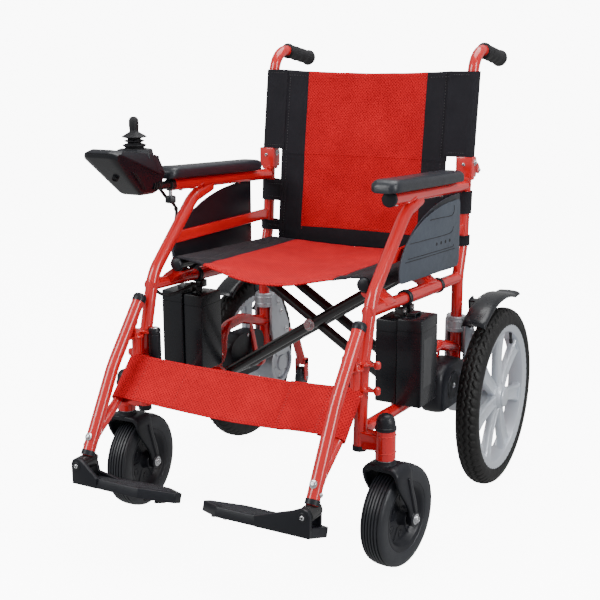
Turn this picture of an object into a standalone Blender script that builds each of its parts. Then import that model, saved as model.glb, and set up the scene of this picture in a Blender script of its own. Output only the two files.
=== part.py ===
"""A folding power wheelchair, in metres, +Z up, facing -Y.

Each side frame lies in a plane of constant X, and everything that slopes along the chair
slopes by the same pitch. `right` is the occupant's right, at -X, and carries the controller.
"""

import math

import bmesh
import bpy
from mathutils import Matrix, Vector

# Driving dimensions.
CHAIR_Y = -0.0380  # moves the chair so that the middle of its length is at the origin
PITCH = math.radians(2.6)  # the frame runs down towards the rear by this much
FRAME_X = 0.247  # plane of each side frame
TUBE_R = 0.0127
RAIL_R = 0.0122  # the rails that run along the side frame
GAP = 0.0003  # between pieces that touch

SEAT_X = 0.214  # seat tubes
SEAT_R = 0.0115
SEAT_Z0 = 0.5253  # height of the seat tubes at y = 0
BRACE_X = 0.218  # lower pivots of the cross brace
BRACE_LOW_Z0 = 0.2502
BRACE_MID_Z0 = 0.3890
BAR_R = 0.0110

ARM_Z0 = 0.6855
RAIL_Z0 = 0.4848
LOWER_Z0 = 0.2635
POST_Y = 0.268

WHEEL = Vector((0.326, 0.316, 0.200))  # centre of a drive wheel
WHEEL_R = 0.200
TYRE_HALF = 0.025
CASTER_STEM = (0.298, -0.215)
CASTER_TRAIL = 0.045
CASTER_R = 0.100
CASTER_HALF = 0.024
SWIVEL_REST = {1: math.radians(-7.0), -1: math.radians(3.6)}  # how far each castor is turned

MOTOR_R = 0.041
HINGE = (0.302, 0.722)  # y and z of the folding back's hinge
GRIP = ((0.395, 0.959), (0.500, 0.953))
GRIP_R = 0.016
FOOT_HINGE = (0.247, 0.187)  # x and z of a footplate's hinge
FOOT_FRONT_Y = -0.440
FOOT_INNER_X = {1: 0.012, -1: 0.050}  # the left plate reaches further in; both clear as the chair folds
FOOT_EYE = (-0.4305, -0.3930)  # front and back of the hinge barrel
FOOT_CHEEKS = ((-0.4375, -0.4310), (-0.3925, -0.3860))
FOOT_TILT = math.radians(20.0)
ANTI_TIP = (0.455, 0.1225)  # y and z of an anti-tip wheel
ANTI_TIP_R = 0.0275
STICK = Vector((-0.247, -0.222, 0.772))  # centre of the joystick's gimbal

SIDES = {-1: "right", 1: "left"}


# Materials: colour, roughness, metallic.
FINISHES = {
    "red_paint": ((0.70, 0.03, 0.02), 0.25, 0.0),
    "black_paint": ((0.02, 0.02, 0.02), 0.35, 0.0),
    "black_plastic": ((0.03, 0.03, 0.03), 0.5, 0.0),
    "grey_plastic": ((0.06, 0.07, 0.08), 0.5, 0.0),
    "silver_plastic": ((0.55, 0.58, 0.62), 0.4, 0.3),
    "cast_alloy": ((0.55, 0.56, 0.58), 0.4, 0.9),
    "rubber": ((0.02, 0.02, 0.02), 0.85, 0.0),
    "steel": ((0.6, 0.6, 0.6), 0.3, 1.0),
    "red_mesh": ((0.65, 0.03, 0.04), 0.9, 0.0),
    "soft_black": ((0.02, 0.02, 0.02), 0.7, 0.0),
}


def finish(name):
    """The named material, made on first use."""
    made = bpy.data.materials.get(name)
    if made:
        return made
    colour, roughness, metallic = FINISHES[name]
    made = bpy.data.materials.new(name)
    made.use_nodes = True
    shader = made.node_tree.nodes["Principled BSDF"]
    shader.inputs["Base Color"].default_value = (*colour, 1.0)
    shader.inputs["Roughness"].default_value = roughness
    shader.inputs["Metallic"].default_value = metallic
    return made


def pitched(height, y):
    """The height at y of a line that has this height at y = 0 and follows the frame's slope."""
    return height - y * math.tan(PITCH)


# Shapes. Each returns an object in the chair's coordinates, one closed body.


def mesh_object(name, shape):
    bmesh.ops.recalc_face_normals(shape, faces=shape.faces)
    mesh = bpy.data.meshes.new(name)
    shape.to_mesh(mesh)
    shape.free()
    made = bpy.data.objects.new(name, mesh)
    bpy.context.scene.collection.objects.link(made)
    return made


def rounded(points, radius, steps=3):
    """The path with each inner corner turned into an arc of this radius."""
    points = [Vector(p) for p in points]
    path = [points[0]]
    for before, corner, after in zip(points, points[1:], points[2:]):
        into = (corner - before).normalized()
        out = (after - corner).normalized()
        turn = into.angle(out)
        reach = radius * math.tan(turn / 2)
        reach = min(reach, 0.48 * (corner - before).length, 0.48 * (after - corner).length)
        size = reach / math.tan(turn / 2)
        inward = (out - into).normalized()
        centre = corner + inward * (size / math.cos(turn / 2))
        first = corner - into * reach - centre
        axis = into.cross(out).normalized()
        for i in range(steps + 1):
            path.append(centre + Matrix.Rotation(turn * i / steps, 3, axis) @ first)
    path.append(points[-1])
    return path


def tube(path, radius, sides=10):
    """A solid round bar along the path, with mitred corners. A list of radii gives one for each point."""
    path = [Vector(p) for p in path]
    radii = radius if isinstance(radius, list) else [radius] * len(path)
    shape = bmesh.new()
    runs = [(b - a).normalized() for a, b in zip(path, path[1:])]
    side = runs[0].orthogonal().normalized()
    if abs(runs[0].x) < 0.9:
        side = (Vector((1, 0, 0)) - runs[0] * runs[0].x).normalized()
    rings = []
    for i, point in enumerate(path):
        before = runs[max(i - 1, 0)]
        after = runs[min(i, len(runs) - 1)]
        normal = (before + after).normalized()
        side = (side - before * side.dot(before)).normalized()
        up = before.cross(side)
        ring = []
        for k in range(sides):
            angle = 2 * math.pi * (k + 0.5) / sides
            across = (side * math.cos(angle) + up * math.sin(angle)) * radii[i]
            across -= before * (across.dot(normal) / before.dot(normal))
            ring.append(shape.verts.new(point + across))
        rings.append(ring)
    for low, high in zip(rings, rings[1:]):
        for k in range(sides):
            j = (k + 1) % sides
            shape.faces.new((low[k], low[j], high[j], high[k]))
    shape.faces.new(rings[0])
    shape.faces.new(rings[-1])
    return mesh_object("tube", shape)


def block(low, high):
    """A box between two opposite corners, given in either order."""
    low = Vector(low)
    high = Vector(high)
    size = [abs(b - a) for a, b in zip(low, high)]
    shape = bmesh.new()
    bmesh.ops.create_cube(shape, size=1.0)
    fitted = Matrix.Translation((low + high) / 2) @ Matrix.Diagonal((*size, 1.0))
    bmesh.ops.transform(shape, matrix=fitted, verts=shape.verts)
    return mesh_object("block", shape)


def plate(outline, axis, start, end):
    """The outline, as pairs of the two coordinates across `axis` (0, 1 or 2), drawn out along it."""
    shape = bmesh.new()
    ends = []
    for along in (start, end):
        ring = []
        for a, b in outline:
            corner = [a, b]
            corner.insert(axis, along)
            ring.append(shape.verts.new(corner))
        ends.append(ring)
    for k in range(len(outline)):
        j = (k + 1) % len(outline)
        shape.faces.new((ends[0][k], ends[0][j], ends[1][j], ends[1][k]))
    shape.faces.new(ends[0])
    shape.faces.new(ends[1])
    return mesh_object("plate", shape)


def turned(profile, centre, sides=24, closed=False):
    """A profile of (radius, x) turned about the X axis through the centre. A closed one is a ring."""
    shape = bmesh.new()
    rings = []
    for radius, x in profile:
        if radius == 0:
            rings.append([shape.verts.new((x, 0, 0))])
            continue
        ring = []
        for k in range(sides):
            angle = 2 * math.pi * k / sides
            corner = (x, radius * math.cos(angle), radius * math.sin(angle))
            ring.append(shape.verts.new(corner))
        rings.append(ring)
    pairs = list(zip(rings, rings[1:]))
    if closed:
        pairs.append((rings[-1], rings[0]))
    for low, high in pairs:
        for k in range(sides):
            j = (k + 1) % sides
            low_edge = [low[k % len(low)], low[j % len(low)]]
            high_edge = [high[j % len(high)], high[k % len(high)]]
            shape.faces.new(list(dict.fromkeys(low_edge + high_edge)))
    bmesh.ops.translate(shape, vec=Vector(centre), verts=shape.verts)
    return mesh_object("turned", shape)


def rod(start, end, radius, sides=16):
    """A straight round bar."""
    return tube([start, end], radius, sides)


def merged(base, others, operation):
    """The base with a Boolean of each of the others, which are used up."""
    for other in others:
        change = base.modifiers.new("merge", "BOOLEAN")
        change.operation = operation
        change.object = other
    graph = bpy.context.evaluated_depsgraph_get()
    mesh = bpy.data.meshes.new_from_object(base.evaluated_get(graph))
    for used in (base, *others):
        bpy.data.objects.remove(used)
    made = bpy.data.objects.new("merged", mesh)
    bpy.context.scene.collection.objects.link(made)
    return made


def joined(base, *others):
    return merged(base, others, "UNION")


def cut(base, *cutters):
    return merged(base, cutters, "DIFFERENCE")


chair = None


def place(name, shape, material, origin=(0, 0, 0), turn=None):
    """Names the shape as a sub-part, with its origin where its joint is."""
    origin = Vector(origin)
    shape.name = name
    shape.data.name = name
    if turn:
        pivot = Matrix.Translation(origin)
        shape.data.transform(pivot @ turn @ pivot.inverted())
    shape.data.transform(Matrix.Translation(-origin))
    shape.location = origin
    shape.data.materials.clear()
    shape.data.materials.append(finish(material))
    shape.data.shade_smooth()
    shape.data.set_sharp_from_angle(angle=math.radians(40))
    shape.parent = chair
    return shape


# Paths that several pieces share, for the side at s * FRAME_X.


def front_tube_path(s):
    corners = [
        (s * FRAME_X, 0.085, 0.6815),
        (s * FRAME_X, -0.022, 0.659),
        (s * FRAME_X, -0.176, 0.515),
        (s * FRAME_X, -0.209, 0.392),
        (s * FRAME_X, -0.219, 0.236),
    ]
    return rounded(corners, 0.09)


def post_path(s):
    corners = [
        (s * FRAME_X, POST_Y, 0.240),
        (s * FRAME_X, POST_Y, 0.475),
        (s * FRAME_X, 0.291, 0.545),
        (s * FRAME_X, 0.301, 0.702),
    ]
    return rounded(corners, 0.12, 3)


def anti_tip_path(s):
    corners = [
        (s * FRAME_X, POST_Y, 0.262),
        (s * FRAME_X, 0.410, 0.262),
        (s * FRAME_X, ANTI_TIP[0], ANTI_TIP[1] + 0.040),
    ]
    return rounded(corners, 0.06)


def hanger_path(s):
    corners = [
        (s * FRAME_X, -0.222, 0.476),
        (s * FRAME_X, -0.318, 0.355),
        (s * FRAME_X, -0.407, 0.197),
    ]
    return rounded(corners, 0.25)


def hanger_rear_path(s):
    corners = [
        (s * FRAME_X, -0.252, 0.436),
        (s * FRAME_X, -0.240, 0.400),
        (s * FRAME_X, -0.240, 0.352),
        (s * FRAME_X, -0.312, 0.278),
        (s * FRAME_X, -0.388, 0.226),
    ]
    return rounded(corners, 0.05, 3)


def seat_tube_ends(s):
    return [(s * SEAT_X, y, pitched(SEAT_Z0, y)) for y in (-0.140, 0.258)]


# The side frames.


def hanger_receiver(s):
    """The hooked lugs that carry the leg hanger, and the release latch inside them."""
    x = s * FRAME_X
    lugs = []
    for z in (0.3515, 0.4005):
        outline = [
            (s * (FRAME_X - 0.022), -0.226),
            (s * (FRAME_X + 0.012), -0.2325),
            (s * (FRAME_X + 0.030), -0.222),
            (s * (FRAME_X + 0.040), -0.208),
            (s * (FRAME_X + 0.030), -0.202),
            (s * (FRAME_X + 0.012), -0.200),
            (s * (FRAME_X - 0.022), -0.200),
        ]
        lugs.append(plate(outline, 2, z, z + 0.004))
    latch = rod((x - s * 0.027, -0.214, 0.340), (x - s * 0.027, -0.214, 0.412), 0.0125, 14)
    return [latch, *lugs]


def front_tube(s):
    """The armrest tube with the long bent tube that drops from it to the caster."""
    ends = [(s * FRAME_X, y, pitched(ARM_Z0, y)) for y in (-0.100, 0.290)]
    diagonal = tube(front_tube_path(s), TUBE_R - 0.0002)
    whole = joined(rod(*ends, TUBE_R, 10), diagonal, *hanger_receiver(s))
    return cut(whole, tube(post_path(s), TUBE_R + GAP))


def side_rail(s):
    """The rail under the seat, with the saddle that the seat tube rests in."""
    x = s * FRAME_X
    front = (x, -0.178, pitched(RAIL_Z0, -0.178))
    rear = (x, POST_Y, pitched(RAIL_Z0, POST_Y))
    rail = rod(front, rear, RAIL_R, 10)
    collars = []
    for y in (-0.026, 0.142):
        ends = [(x, along, pitched(RAIL_Z0, along)) for along in (y, y + 0.012)]
        collars.append(rod(*ends, 0.0165, 12))
    gussets = []
    for y in (-0.112, 0.111):
        z = pitched(RAIL_Z0, y)
        outline = [
            (s * (FRAME_X + 0.004), z - 0.004),
            (s * (FRAME_X + 0.004), z + 0.008),
            (s * (SEAT_X + 0.013), z + 0.028),
            (s * (SEAT_X - 0.006), z + 0.0262),
            (s * (SEAT_X - 0.006), z + 0.0215),
            (s * (SEAT_X + 0.010), z + 0.0215),
        ]
        gussets.append(plate(outline, 1, y - 0.021, y + 0.021))
    whole = joined(rail, *collars, *gussets)
    return cut(whole, tube(front_tube_path(s), TUBE_R + GAP), tube(post_path(s), TUBE_R + GAP))


def lower_rail(s):
    """The bottom rail, which arches up over the drive cover, and the lugs of the cross brace."""
    x = s * FRAME_X
    corners = [
        (x, -0.219, pitched(LOWER_Z0, -0.219)),
        (x, 0.074, pitched(LOWER_Z0, 0.074)),
        (x, 0.078, 0.340),
        (x, 0.160, 0.346),
        (x, POST_Y, 0.316),
    ]
    rail = tube(rounded(corners, 0.035), RAIL_R)
    lugs = []
    for y0, y1, top in ((0.018, 0.034, 0.262), (0.184, 0.198, 0.338)):
        z = pitched(BRACE_LOW_Z0, (y0 + y1) / 2)
        outline = [
            (s * (BRACE_X - 0.014), z - 0.008),
            (s * (BRACE_X - 0.008), z - 0.015),
            (s * (BRACE_X + 0.012), z - 0.015),
            (s * (FRAME_X - 0.010), top - 0.010),
            (s * (FRAME_X - 0.010), top + 0.002),
            (s * (BRACE_X + 0.004), z + 0.018),
            (s * (BRACE_X - 0.012), z + 0.012),
        ]
        lugs.append(plate(outline, 1, y0, y1))
    whole = joined(rail, *lugs)
    low = (s * BRACE_X, 0.0, BRACE_LOW_Z0)
    high = (s * BRACE_X, 0.22, pitched(BRACE_LOW_Z0, 0.22))
    return cut(
        whole,
        tube(front_tube_path(s), TUBE_R + GAP),
        tube(post_path(s), TUBE_R + GAP),
        rod(low, high, 0.0056),
    )


def back_post(s):
    """The rear post with the cheeks of the back's hinge and the flat bar that carries the side panel."""
    post = tube(post_path(s), TUBE_R)
    cheeks = []
    y, z = HINGE
    for offset in (-0.0185, 0.0145):
        x0 = s * FRAME_X + offset
        outline = [
            (y - 0.010, 0.690),
            (y + 0.010, 0.690),
            (y + 0.014, z - 0.004),
            (y + 0.012, z + 0.008),
            (y, z + 0.013),
            (y - 0.012, z + 0.008),
            (y - 0.014, z - 0.004),
        ]
        cheeks.append(plate(outline, 0, x0, x0 + 0.004))
    collar = rod((s * FRAME_X, 0.2995, 0.686), (s * FRAME_X, 0.3008, 0.700), 0.0185, 12)
    x = s * (FRAME_X + 0.002)
    outline = [(-0.096, 0.590), (-0.121, 0.566), (0.292, 0.566), (0.294, 0.590)]
    guard_bar = plate(outline, 0, x - 0.003, x + 0.003)
    whole = joined(post, collar, guard_bar, *cheeks)
    return cut(whole, tube(front_tube_path(s), TUBE_R + GAP))


def side_panel(s):
    """The dark guard outside the frame, a quarter ellipse with a flat back edge."""
    bottom = [(-0.086, 0.536), (-0.072, 0.524), (0.190, 0.510), (0.222, 0.516)]
    arc = []
    for i in range(9):
        angle = math.radians(96 + 84 * i / 8)
        arc.append((0.175 + 0.262 * math.cos(angle), 0.545 + 0.108 * math.sin(angle)))
    outline = bottom + [(0.228, 0.540), (0.228, 0.646), (0.212, 0.654)] + arc
    x = s * (FRAME_X + TUBE_R + 0.001)
    return plate(outline, 0, x, x + s * 0.004)


def arm_pad(s):
    """The moulded armrest pad, crowned along its length."""
    shape = bmesh.new()
    rings = []
    for y, half, top in ((-0.134, 0.020, 0.012), (-0.126, 0.026, 0.021), (-0.100, 0.0285, 0.026),
                         (0.196, 0.0285, 0.026), (0.216, 0.025, 0.020), (0.224, 0.019, 0.012)):
        base = pitched(ARM_Z0, y) + TUBE_R + 0.0005
        ring = []
        for across, height in ((-1, 0.002), (-0.9, 0.0), (0.9, 0.0), (1, 0.002), (1, 0.6), (0.8, 0.9),
                               (0, 1.0), (-0.8, 0.9), (-1, 0.6)):
            lift = height if height < 0.01 else height * top
            ring.append(shape.verts.new((s * FRAME_X + across * half, y, base + lift)))
        rings.append(ring)
    for low, high in zip(rings, rings[1:]):
        for k in range(len(low)):
            j = (k + 1) % len(low)
            shape.faces.new((low[k], low[j], high[j], high[k]))
    shape.faces.new(rings[0])
    shape.faces.new(rings[-1])
    return mesh_object("pad", shape)


# The folding back.


def back_cane(s):
    """The upper back tube, from the hinge up and round to the push handle."""
    x = s * FRAME_X
    y, z = HINGE
    drop = (GRIP[0][1] - GRIP[1][1]) / (GRIP[1][0] - GRIP[0][0])
    bend_y = 0.333
    bend_z = GRIP[0][1] + (GRIP[0][0] - bend_y) * drop
    corners = [(x, y + 0.003, z + 0.022), (x, bend_y, bend_z), (x, *GRIP[1])]
    cane = tube(rounded(corners, 0.045, 5), TUBE_R - 0.0004)
    knuckle = rod((x - 0.0138, y, z), (x + 0.0138, y, z), 0.0125, 14)
    neck = rod((x, y, z), (x, y + 0.0045, z + 0.034), 0.0115, 10)
    return joined(cane, knuckle, neck)


def push_grip(s):
    x = s * FRAME_X
    start, end = (Vector((x, *p)) for p in GRIP)
    along = (end - start).normalized()
    body = rod(start, end + along * 0.006, GRIP_R, 14)
    return cut(body, rod(start - along * 0.01, end + along * GAP, TUBE_R - 0.0001, 10))


# The castors.


def caster_head(s):
    """The plate welded to the front tube, with the head tube and its cap."""
    x, y = CASTER_STEM
    arm = block((s * 0.250, y - 0.014, 0.242), (s * x, y + 0.014, 0.272))
    head = rod((s * x, y, 0.226), (s * x, y, 0.284), 0.0190, 16)
    cap = tube([(s * x, y, 0.282), (s * x, y, 0.296), (s * x, y, 0.306), (s * x, y, 0.311)],
               [0.0165, 0.0165, 0.012, 0.005], 16)
    bore = rod((s * x, y, 0.20), (s * x, y, 0.272), 0.0085, 16)
    rail = rod((s * FRAME_X, -0.230, 0.2735), (s * FRAME_X, -0.190, 0.2721), RAIL_R + GAP, 10)
    return cut(joined(head, arm, cap), bore, rail, tube(front_tube_path(s), TUBE_R + GAP))


def caster_fork(s):
    """One moulded piece: a crown round the stem and two legs down to the axle."""
    x, y = CASTER_STEM
    axle_y = y + CASTER_TRAIL
    legs = []
    for inner in (-0.040, 0.031):
        outline = [
            (axle_y - 0.014, CASTER_R - 0.012),
            (axle_y + 0.012, CASTER_R - 0.014),
            (axle_y + 0.018, CASTER_R + 0.004),
            (y + 0.030, 0.215),
            (y - 0.018, 0.215),
            (y - 0.020, 0.190),
        ]
        legs.append(plate(outline, 0, s * x + inner, s * x + inner + 0.009))
    crown = block((s * x - 0.040, y - 0.020, 0.203), (s * x + 0.040, y + 0.032, 0.218))
    hub = rod((s * x, y, 0.205), (s * x, y, 0.2255 - GAP), 0.0185, 16)
    stem = rod((s * x, y, 0.210), (s * x, y, 0.268), 0.0080, 16)
    axle = rod((s * x - 0.044, axle_y, CASTER_R), (s * x + 0.044, axle_y, CASTER_R), 0.0050, 12)
    return joined(crown, *legs, hub, stem, axle)


def caster_wheel(s):
    """A solid ribbed tyre on a plastic rim, with the bore for its axle."""
    half = CASTER_HALF
    profile = [
        (0.0055, -0.028), (0.018, -0.028), (0.020, -0.010), (0.055, -0.010), (0.068, -half + 0.002),
        (0.090, -half), (CASTER_R, -0.013), (CASTER_R, 0.013), (0.090, half),
        (0.068, half - 0.002), (0.055, 0.010), (0.020, 0.010), (0.018, 0.028), (0.0055, 0.028),
    ]
    x, y = CASTER_STEM
    return turned(profile, (s * x, y + CASTER_TRAIL, CASTER_R), 20, closed=True)


# The drive.


def drive_motor(s):
    """The geared motor with its axle, which the wheel turns on."""
    profile = [
        (0, 0.224),
        (0.020, 0.224),
        (0.022, 0.230),
        (0.037, 0.231),
        (MOTOR_R, 0.236),
        (MOTOR_R, 0.290),
        (0.030, 0.292),
        (0.030, 0.2965),
        (0.0085, 0.2965),
        (0.0085, 0.3405),
        (0, 0.3405),
    ]
    return turned([(r, s * x) for r, x in profile], (0, WHEEL.y, WHEEL.z), 24)


def drive_bracket(s):
    """The cast bracket: a clamp on the rear post and two cheeks down to a collar round the motor."""
    ring = rod((s * 0.226, WHEEL.y, WHEEL.z), (s * 0.272, WHEEL.y, WHEEL.z), 0.0495, 20)
    clamp = rod((s * FRAME_X, POST_Y, 0.353), (s * FRAME_X, POST_Y, 0.387), 0.0215, 14)
    ears = block((s * 0.221, POST_Y + 0.004, 0.353), (s * 0.274, POST_Y + 0.030, 0.387))
    cheeks = []
    for inner in (0.2225, 0.2650):
        outline = [
            (0.262, 0.386),
            (0.298, 0.386),
            (0.345, 0.300),
            (0.350, 0.222),
            (0.284, 0.222),
            (0.262, 0.300),
        ]
        cheeks.append(plate(outline, 0, s * inner, s * (inner + 0.0075)))
    whole = joined(ring, clamp, ears, *cheeks)
    bore = MOTOR_R + GAP
    motor = turned(
        [(0, s * 0.21), (bore, s * 0.21), (bore, s * 0.29), (0, s * 0.29)],
        (0, WHEEL.y, WHEEL.z),
        24,
    )
    post = rod((s * FRAME_X, POST_Y, 0.34), (s * FRAME_X, POST_Y, 0.40), TUBE_R + GAP, 10)
    return cut(whole, post, motor, tube(anti_tip_path(s), 0.0116))


def drive_cover(s):
    """The black housing under the arch of the lower rail."""
    outline = [
        (0.096, 0.214),
        (0.104, 0.206),
        (0.238, 0.206),
        (0.246, 0.216),
        (0.246, 0.286),
        (0.228, 0.302),
        (0.160, 0.312),
        (0.104, 0.304),
        (0.096, 0.292),
    ]
    return plate(outline, 0, s * 0.2365, s * 0.281)


def wheel_rim(s):
    """The silver rim: a rolled channel, seven blade spokes and a hub bored for the axle."""
    edge = [(0.146, -0.018), (0.160, -0.0212), (0.1635, -0.0205), (0.158, -0.008),
            (0.158, 0.008), (0.1635, 0.0205), (0.160, 0.0212), (0.146, 0.018)]
    rim = turned([(r, s * (x + WHEEL.x)) for r, x in edge], (0, WHEEL.y, WHEEL.z), 28, closed=True)
    hub = [(0.009, -0.028), (0.028, -0.028), (0.034, -0.006), (0.034, 0.010), (0.024, 0.021),
           (0.0175, 0.024), (0.009, 0.024)]
    middle = turned([(r, s * (x + WHEEL.x)) for r, x in hub], (0, WHEEL.y, WHEEL.z), 21, closed=True)
    spokes = []
    for i in range(7):
        outline = [(-0.012, 0.020), (0.012, 0.020), (0.020, 0.150), (-0.020, 0.150)]
        spoke = plate(outline, 0, s * (WHEEL.x - 0.007), s * (WHEEL.x + 0.007))
        turn = Matrix.Rotation(2 * math.pi * i / 7, 4, "X")
        spoke.data.transform(Matrix.Translation((0, WHEEL.y, WHEEL.z)) @ turn)
        spokes.append(spoke)
    return joined(rim, middle, *spokes)


def wheel_tyre(s):
    half = TYRE_HALF
    profile = [
        (0.1600, -0.0070), (0.1600, 0.0070), (0.166, 0.0205), (0.178, half),
        (0.193, 0.019), (WHEEL_R, 0.008), (WHEEL_R, -0.008), (0.193, -0.019),
        (0.178, -half), (0.166, -0.0205),
    ]
    return turned([(r, s * (x + WHEEL.x)) for r, x in profile], (0, WHEEL.y, WHEEL.z), 28, closed=True)


def wheel_fender(s):
    """A curved guard over the wheel, flipped up at its rear edge and held to the post's clamp."""
    shape = bmesh.new()
    inner = []
    outer = []
    steps = 10
    for i in range(steps + 1):
        angle = math.radians(-37 + 63 * i / steps)
        flip = 0.010 if i == steps else 0.0
        low = []
        high = []
        for x, sink in ((0.288, 0.007), (0.296, 0.001), (0.316, 0.0), (0.334, 0.001), (0.342, 0.007)):
            for radius, row in ((0.231, low), (0.234, high)):
                r = radius - sink + flip
                y = WHEEL.y + r * math.sin(angle)
                row.append(shape.verts.new((s * x, y, WHEEL.z + r * math.cos(angle))))
        inner.append(low)
        outer.append(high)
    for i in range(steps):
        for rows in (inner, outer):
            for k in range(4):
                shape.faces.new((rows[i][k], rows[i][k + 1], rows[i + 1][k + 1], rows[i + 1][k]))
        for k in (0, 4):
            shape.faces.new((inner[i][k], inner[i + 1][k], outer[i + 1][k], outer[i][k]))
    for i in (0, steps):
        for k in range(4):
            shape.faces.new((inner[i][k], inner[i][k + 1], outer[i][k + 1], outer[i][k]))
    guard = mesh_object("guard", shape)
    outline = [
        (0.272, 0.360),
        (0.294, 0.360),
        (0.298, 0.384),
        (0.290, 0.432),
        (0.262, 0.426),
        (0.274, 0.384),
    ]
    strut = plate(outline, 0, s * 0.2745, s * 0.2785)
    bridge = block((s * 0.2745, 0.264, 0.4215), (s * 0.292, 0.288, 0.4255))
    return joined(guard, strut, bridge)


# Batteries, anti-tip wheels and footrests.


def battery_box(s):
    """A battery case with its lid lip and groove, and the bracket that hangs it from the rail."""
    case = block((s * 0.205, -0.070, 0.2796), (s * 0.305, 0.012, 0.446))
    lid = block((s * 0.203, -0.072, 0.440), (s * 0.307, 0.014, 0.455))
    hanger = block((s * 0.238, -0.050, 0.450), (s * 0.256, -0.030, 0.4715))
    groove = block((s * 0.2505, -0.080, 0.290), (s * 0.2535, -0.066, 0.430))
    return cut(joined(case, lid, hanger), groove)


def anti_tipper(s):
    """The tube behind the frame, ending in the fork of its small wheel."""
    bar = tube(anti_tip_path(s), 0.0110)
    y, z = ANTI_TIP
    plates = []
    for offset in (-0.0145, 0.0115):
        x0 = s * FRAME_X + offset
        outline = [
            (y - 0.009, z - 0.008),
            (y + 0.009, z - 0.008),
            (y + 0.011, z + 0.055),
            (y - 0.011, z + 0.055),
        ]
        plates.append(plate(outline, 0, x0, x0 + 0.003))
    x = s * FRAME_X
    crown = block((x - 0.0145, y - 0.010, z + 0.036), (x + 0.0145, y + 0.010, z + 0.052))
    axle = rod((x - 0.0165, y, z), (x + 0.0165, y, z), 0.0035, 10)
    return cut(joined(bar, *plates, crown, axle), tube(post_path(s), TUBE_R + GAP))


def anti_tip_wheel(s):
    profile = [(0.0038, -0.009), (0.010, -0.009), (0.012, -0.007), (0.022, -0.008), (ANTI_TIP_R, -0.005),
               (ANTI_TIP_R, 0.005), (0.022, 0.008), (0.012, 0.007), (0.010, 0.009), (0.0038, 0.009)]
    return turned([(r, x + s * FRAME_X) for r, x in profile], (0, *ANTI_TIP), 20, closed=True)


def leg_hanger(s):
    """The swing-away hanger: two tubes that meet near the foot, with its two hinge lugs."""
    main = tube(hanger_path(s), TUBE_R)
    rear = tube(hanger_rear_path(s), 0.0095)
    lugs = []
    for z in (0.347, 0.396):
        lugs.append(rod((s * FRAME_X, -0.241, z), (s * FRAME_X, -0.241, z + 0.004), 0.0155, 14))
    web = block((s * FRAME_X - 0.006, -0.272, 0.396), (s * FRAME_X + 0.006, -0.248, 0.400))
    return joined(main, rear, *lugs, web)


def footrest_stem(s):
    """The black tube that slides out of the hanger and ends in the barrel of the footplate's hinge."""
    x, z = FOOT_HINGE
    path = hanger_path(s)
    along = (path[-1] - path[-2]).normalized()
    stem = rod(path[-1] + along * GAP, path[-1] + along * 0.016, 0.0100, 12)
    barrel = rod((s * x, FOOT_EYE[0], z), (s * x, FOOT_EYE[1], z), 0.0150, 16)
    trim = rod(path[-1] - along * 0.05, path[-1] + along * GAP, TUBE_R + 0.001, 12)
    bore = rod((s * x, -0.46, z), (s * x, -0.37, z), 0.0045, 12)
    return cut(joined(stem, barrel), trim, bore)


def foot_cheek(s, y0, y1, outline):
    """One cheek of the footplate's hinge, its outline measured from the hinge towards the middle and up."""
    x, z = FOOT_HINGE
    return plate([(s * (x - inward), z + up) for inward, up in outline], 1, y0, y1)


def footplate(s):
    """A ribbed plate, tilted toes up, that turns on a bolt through two cheeks at its outer end."""
    x, z = FOOT_HINGE
    front = FOOT_FRONT_Y
    inner = FOOT_INNER_X[s]
    outline = [
        (s * inner, front + 0.044),
        (s * (inner + 0.056), front),
        (s * 0.258, front),
        (s * 0.258, front + 0.072),
        (s * 0.205, front + 0.092),
        (s * 0.140, front + 0.108),
        (s * (inner + 0.056), front + 0.108),
        (s * inner, front + 0.066),
    ]
    board = plate(outline, 2, z - 0.035, z - 0.017)
    ribs = []
    for a in (inner + 0.030, inner + 0.055):
        low = (s * a, front + 0.030, z - 0.042)
        ribs.append(block(low, (s * (a + 0.006), front + 0.062, z - 0.030)))
    whole = joined(board, *ribs)
    tip = Matrix.Translation((0, front, z - 0.035))
    whole.data.transform(tip @ Matrix.Rotation(-FOOT_TILT, 4, "X") @ tip.inverted())
    outline = [
        (0.095, -0.030),
        (-0.014, -0.030),
        (-0.015, 0.006),
        (-0.008, 0.014),
        (0.008, 0.014),
        (0.075, -0.010),
    ]
    front_cheek = foot_cheek(s, *FOOT_CHEEKS[0], outline)
    outline = [
        (0.095, -0.044),
        (-0.010, -0.044),
        (-0.0095, 0.002),
        (-0.006, 0.0075),
        (0.006, 0.0075),
        (0.013, -0.024),
        (0.070, -0.034),
    ]
    rear_cheek = foot_cheek(s, *FOOT_CHEEKS[1], outline)
    bolt = rod((s * x, -0.4400, z), (s * x, -0.3830, z), 0.0036, 12)
    return joined(whole, front_cheek, rear_cheek, bolt)


# The cross brace.


def cross_brace(s, front_y, rear_y):
    """One half of the brace, from the lower pivot on side s to the seat tube on the other side."""
    low_y0, low_y1 = 0.0355, 0.1825
    low = [(s * BRACE_X, y, pitched(BRACE_LOW_Z0, y)) for y in (low_y0, low_y1)]
    pin = [(s * BRACE_X, y, pitched(BRACE_LOW_Z0, y)) for y in (0.014, 0.202)]
    parts = [rod(*low, 0.0110, 12), rod(*pin, 0.0050, 12)]
    for y in (front_y, rear_y):
        start = (s * BRACE_X, y, pitched(BRACE_LOW_Z0, y))
        end = (-s * SEAT_X, y, pitched(SEAT_Z0, y))
        parts.append(rod(start, end, BAR_R, 10))
    seat = rod(*seat_tube_ends(-s), SEAT_R, 12)
    return joined(seat, *parts)


def brace_bolts():
    """One rod through all four bars of the brace: its centre bolts and the spacer between them."""
    ends = [(0, y, pitched(BRACE_MID_Z0, y)) for y in (0.038, 0.212)]
    return rod(*ends, 0.0045, 12)


# Fabric, as plain solids.


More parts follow.
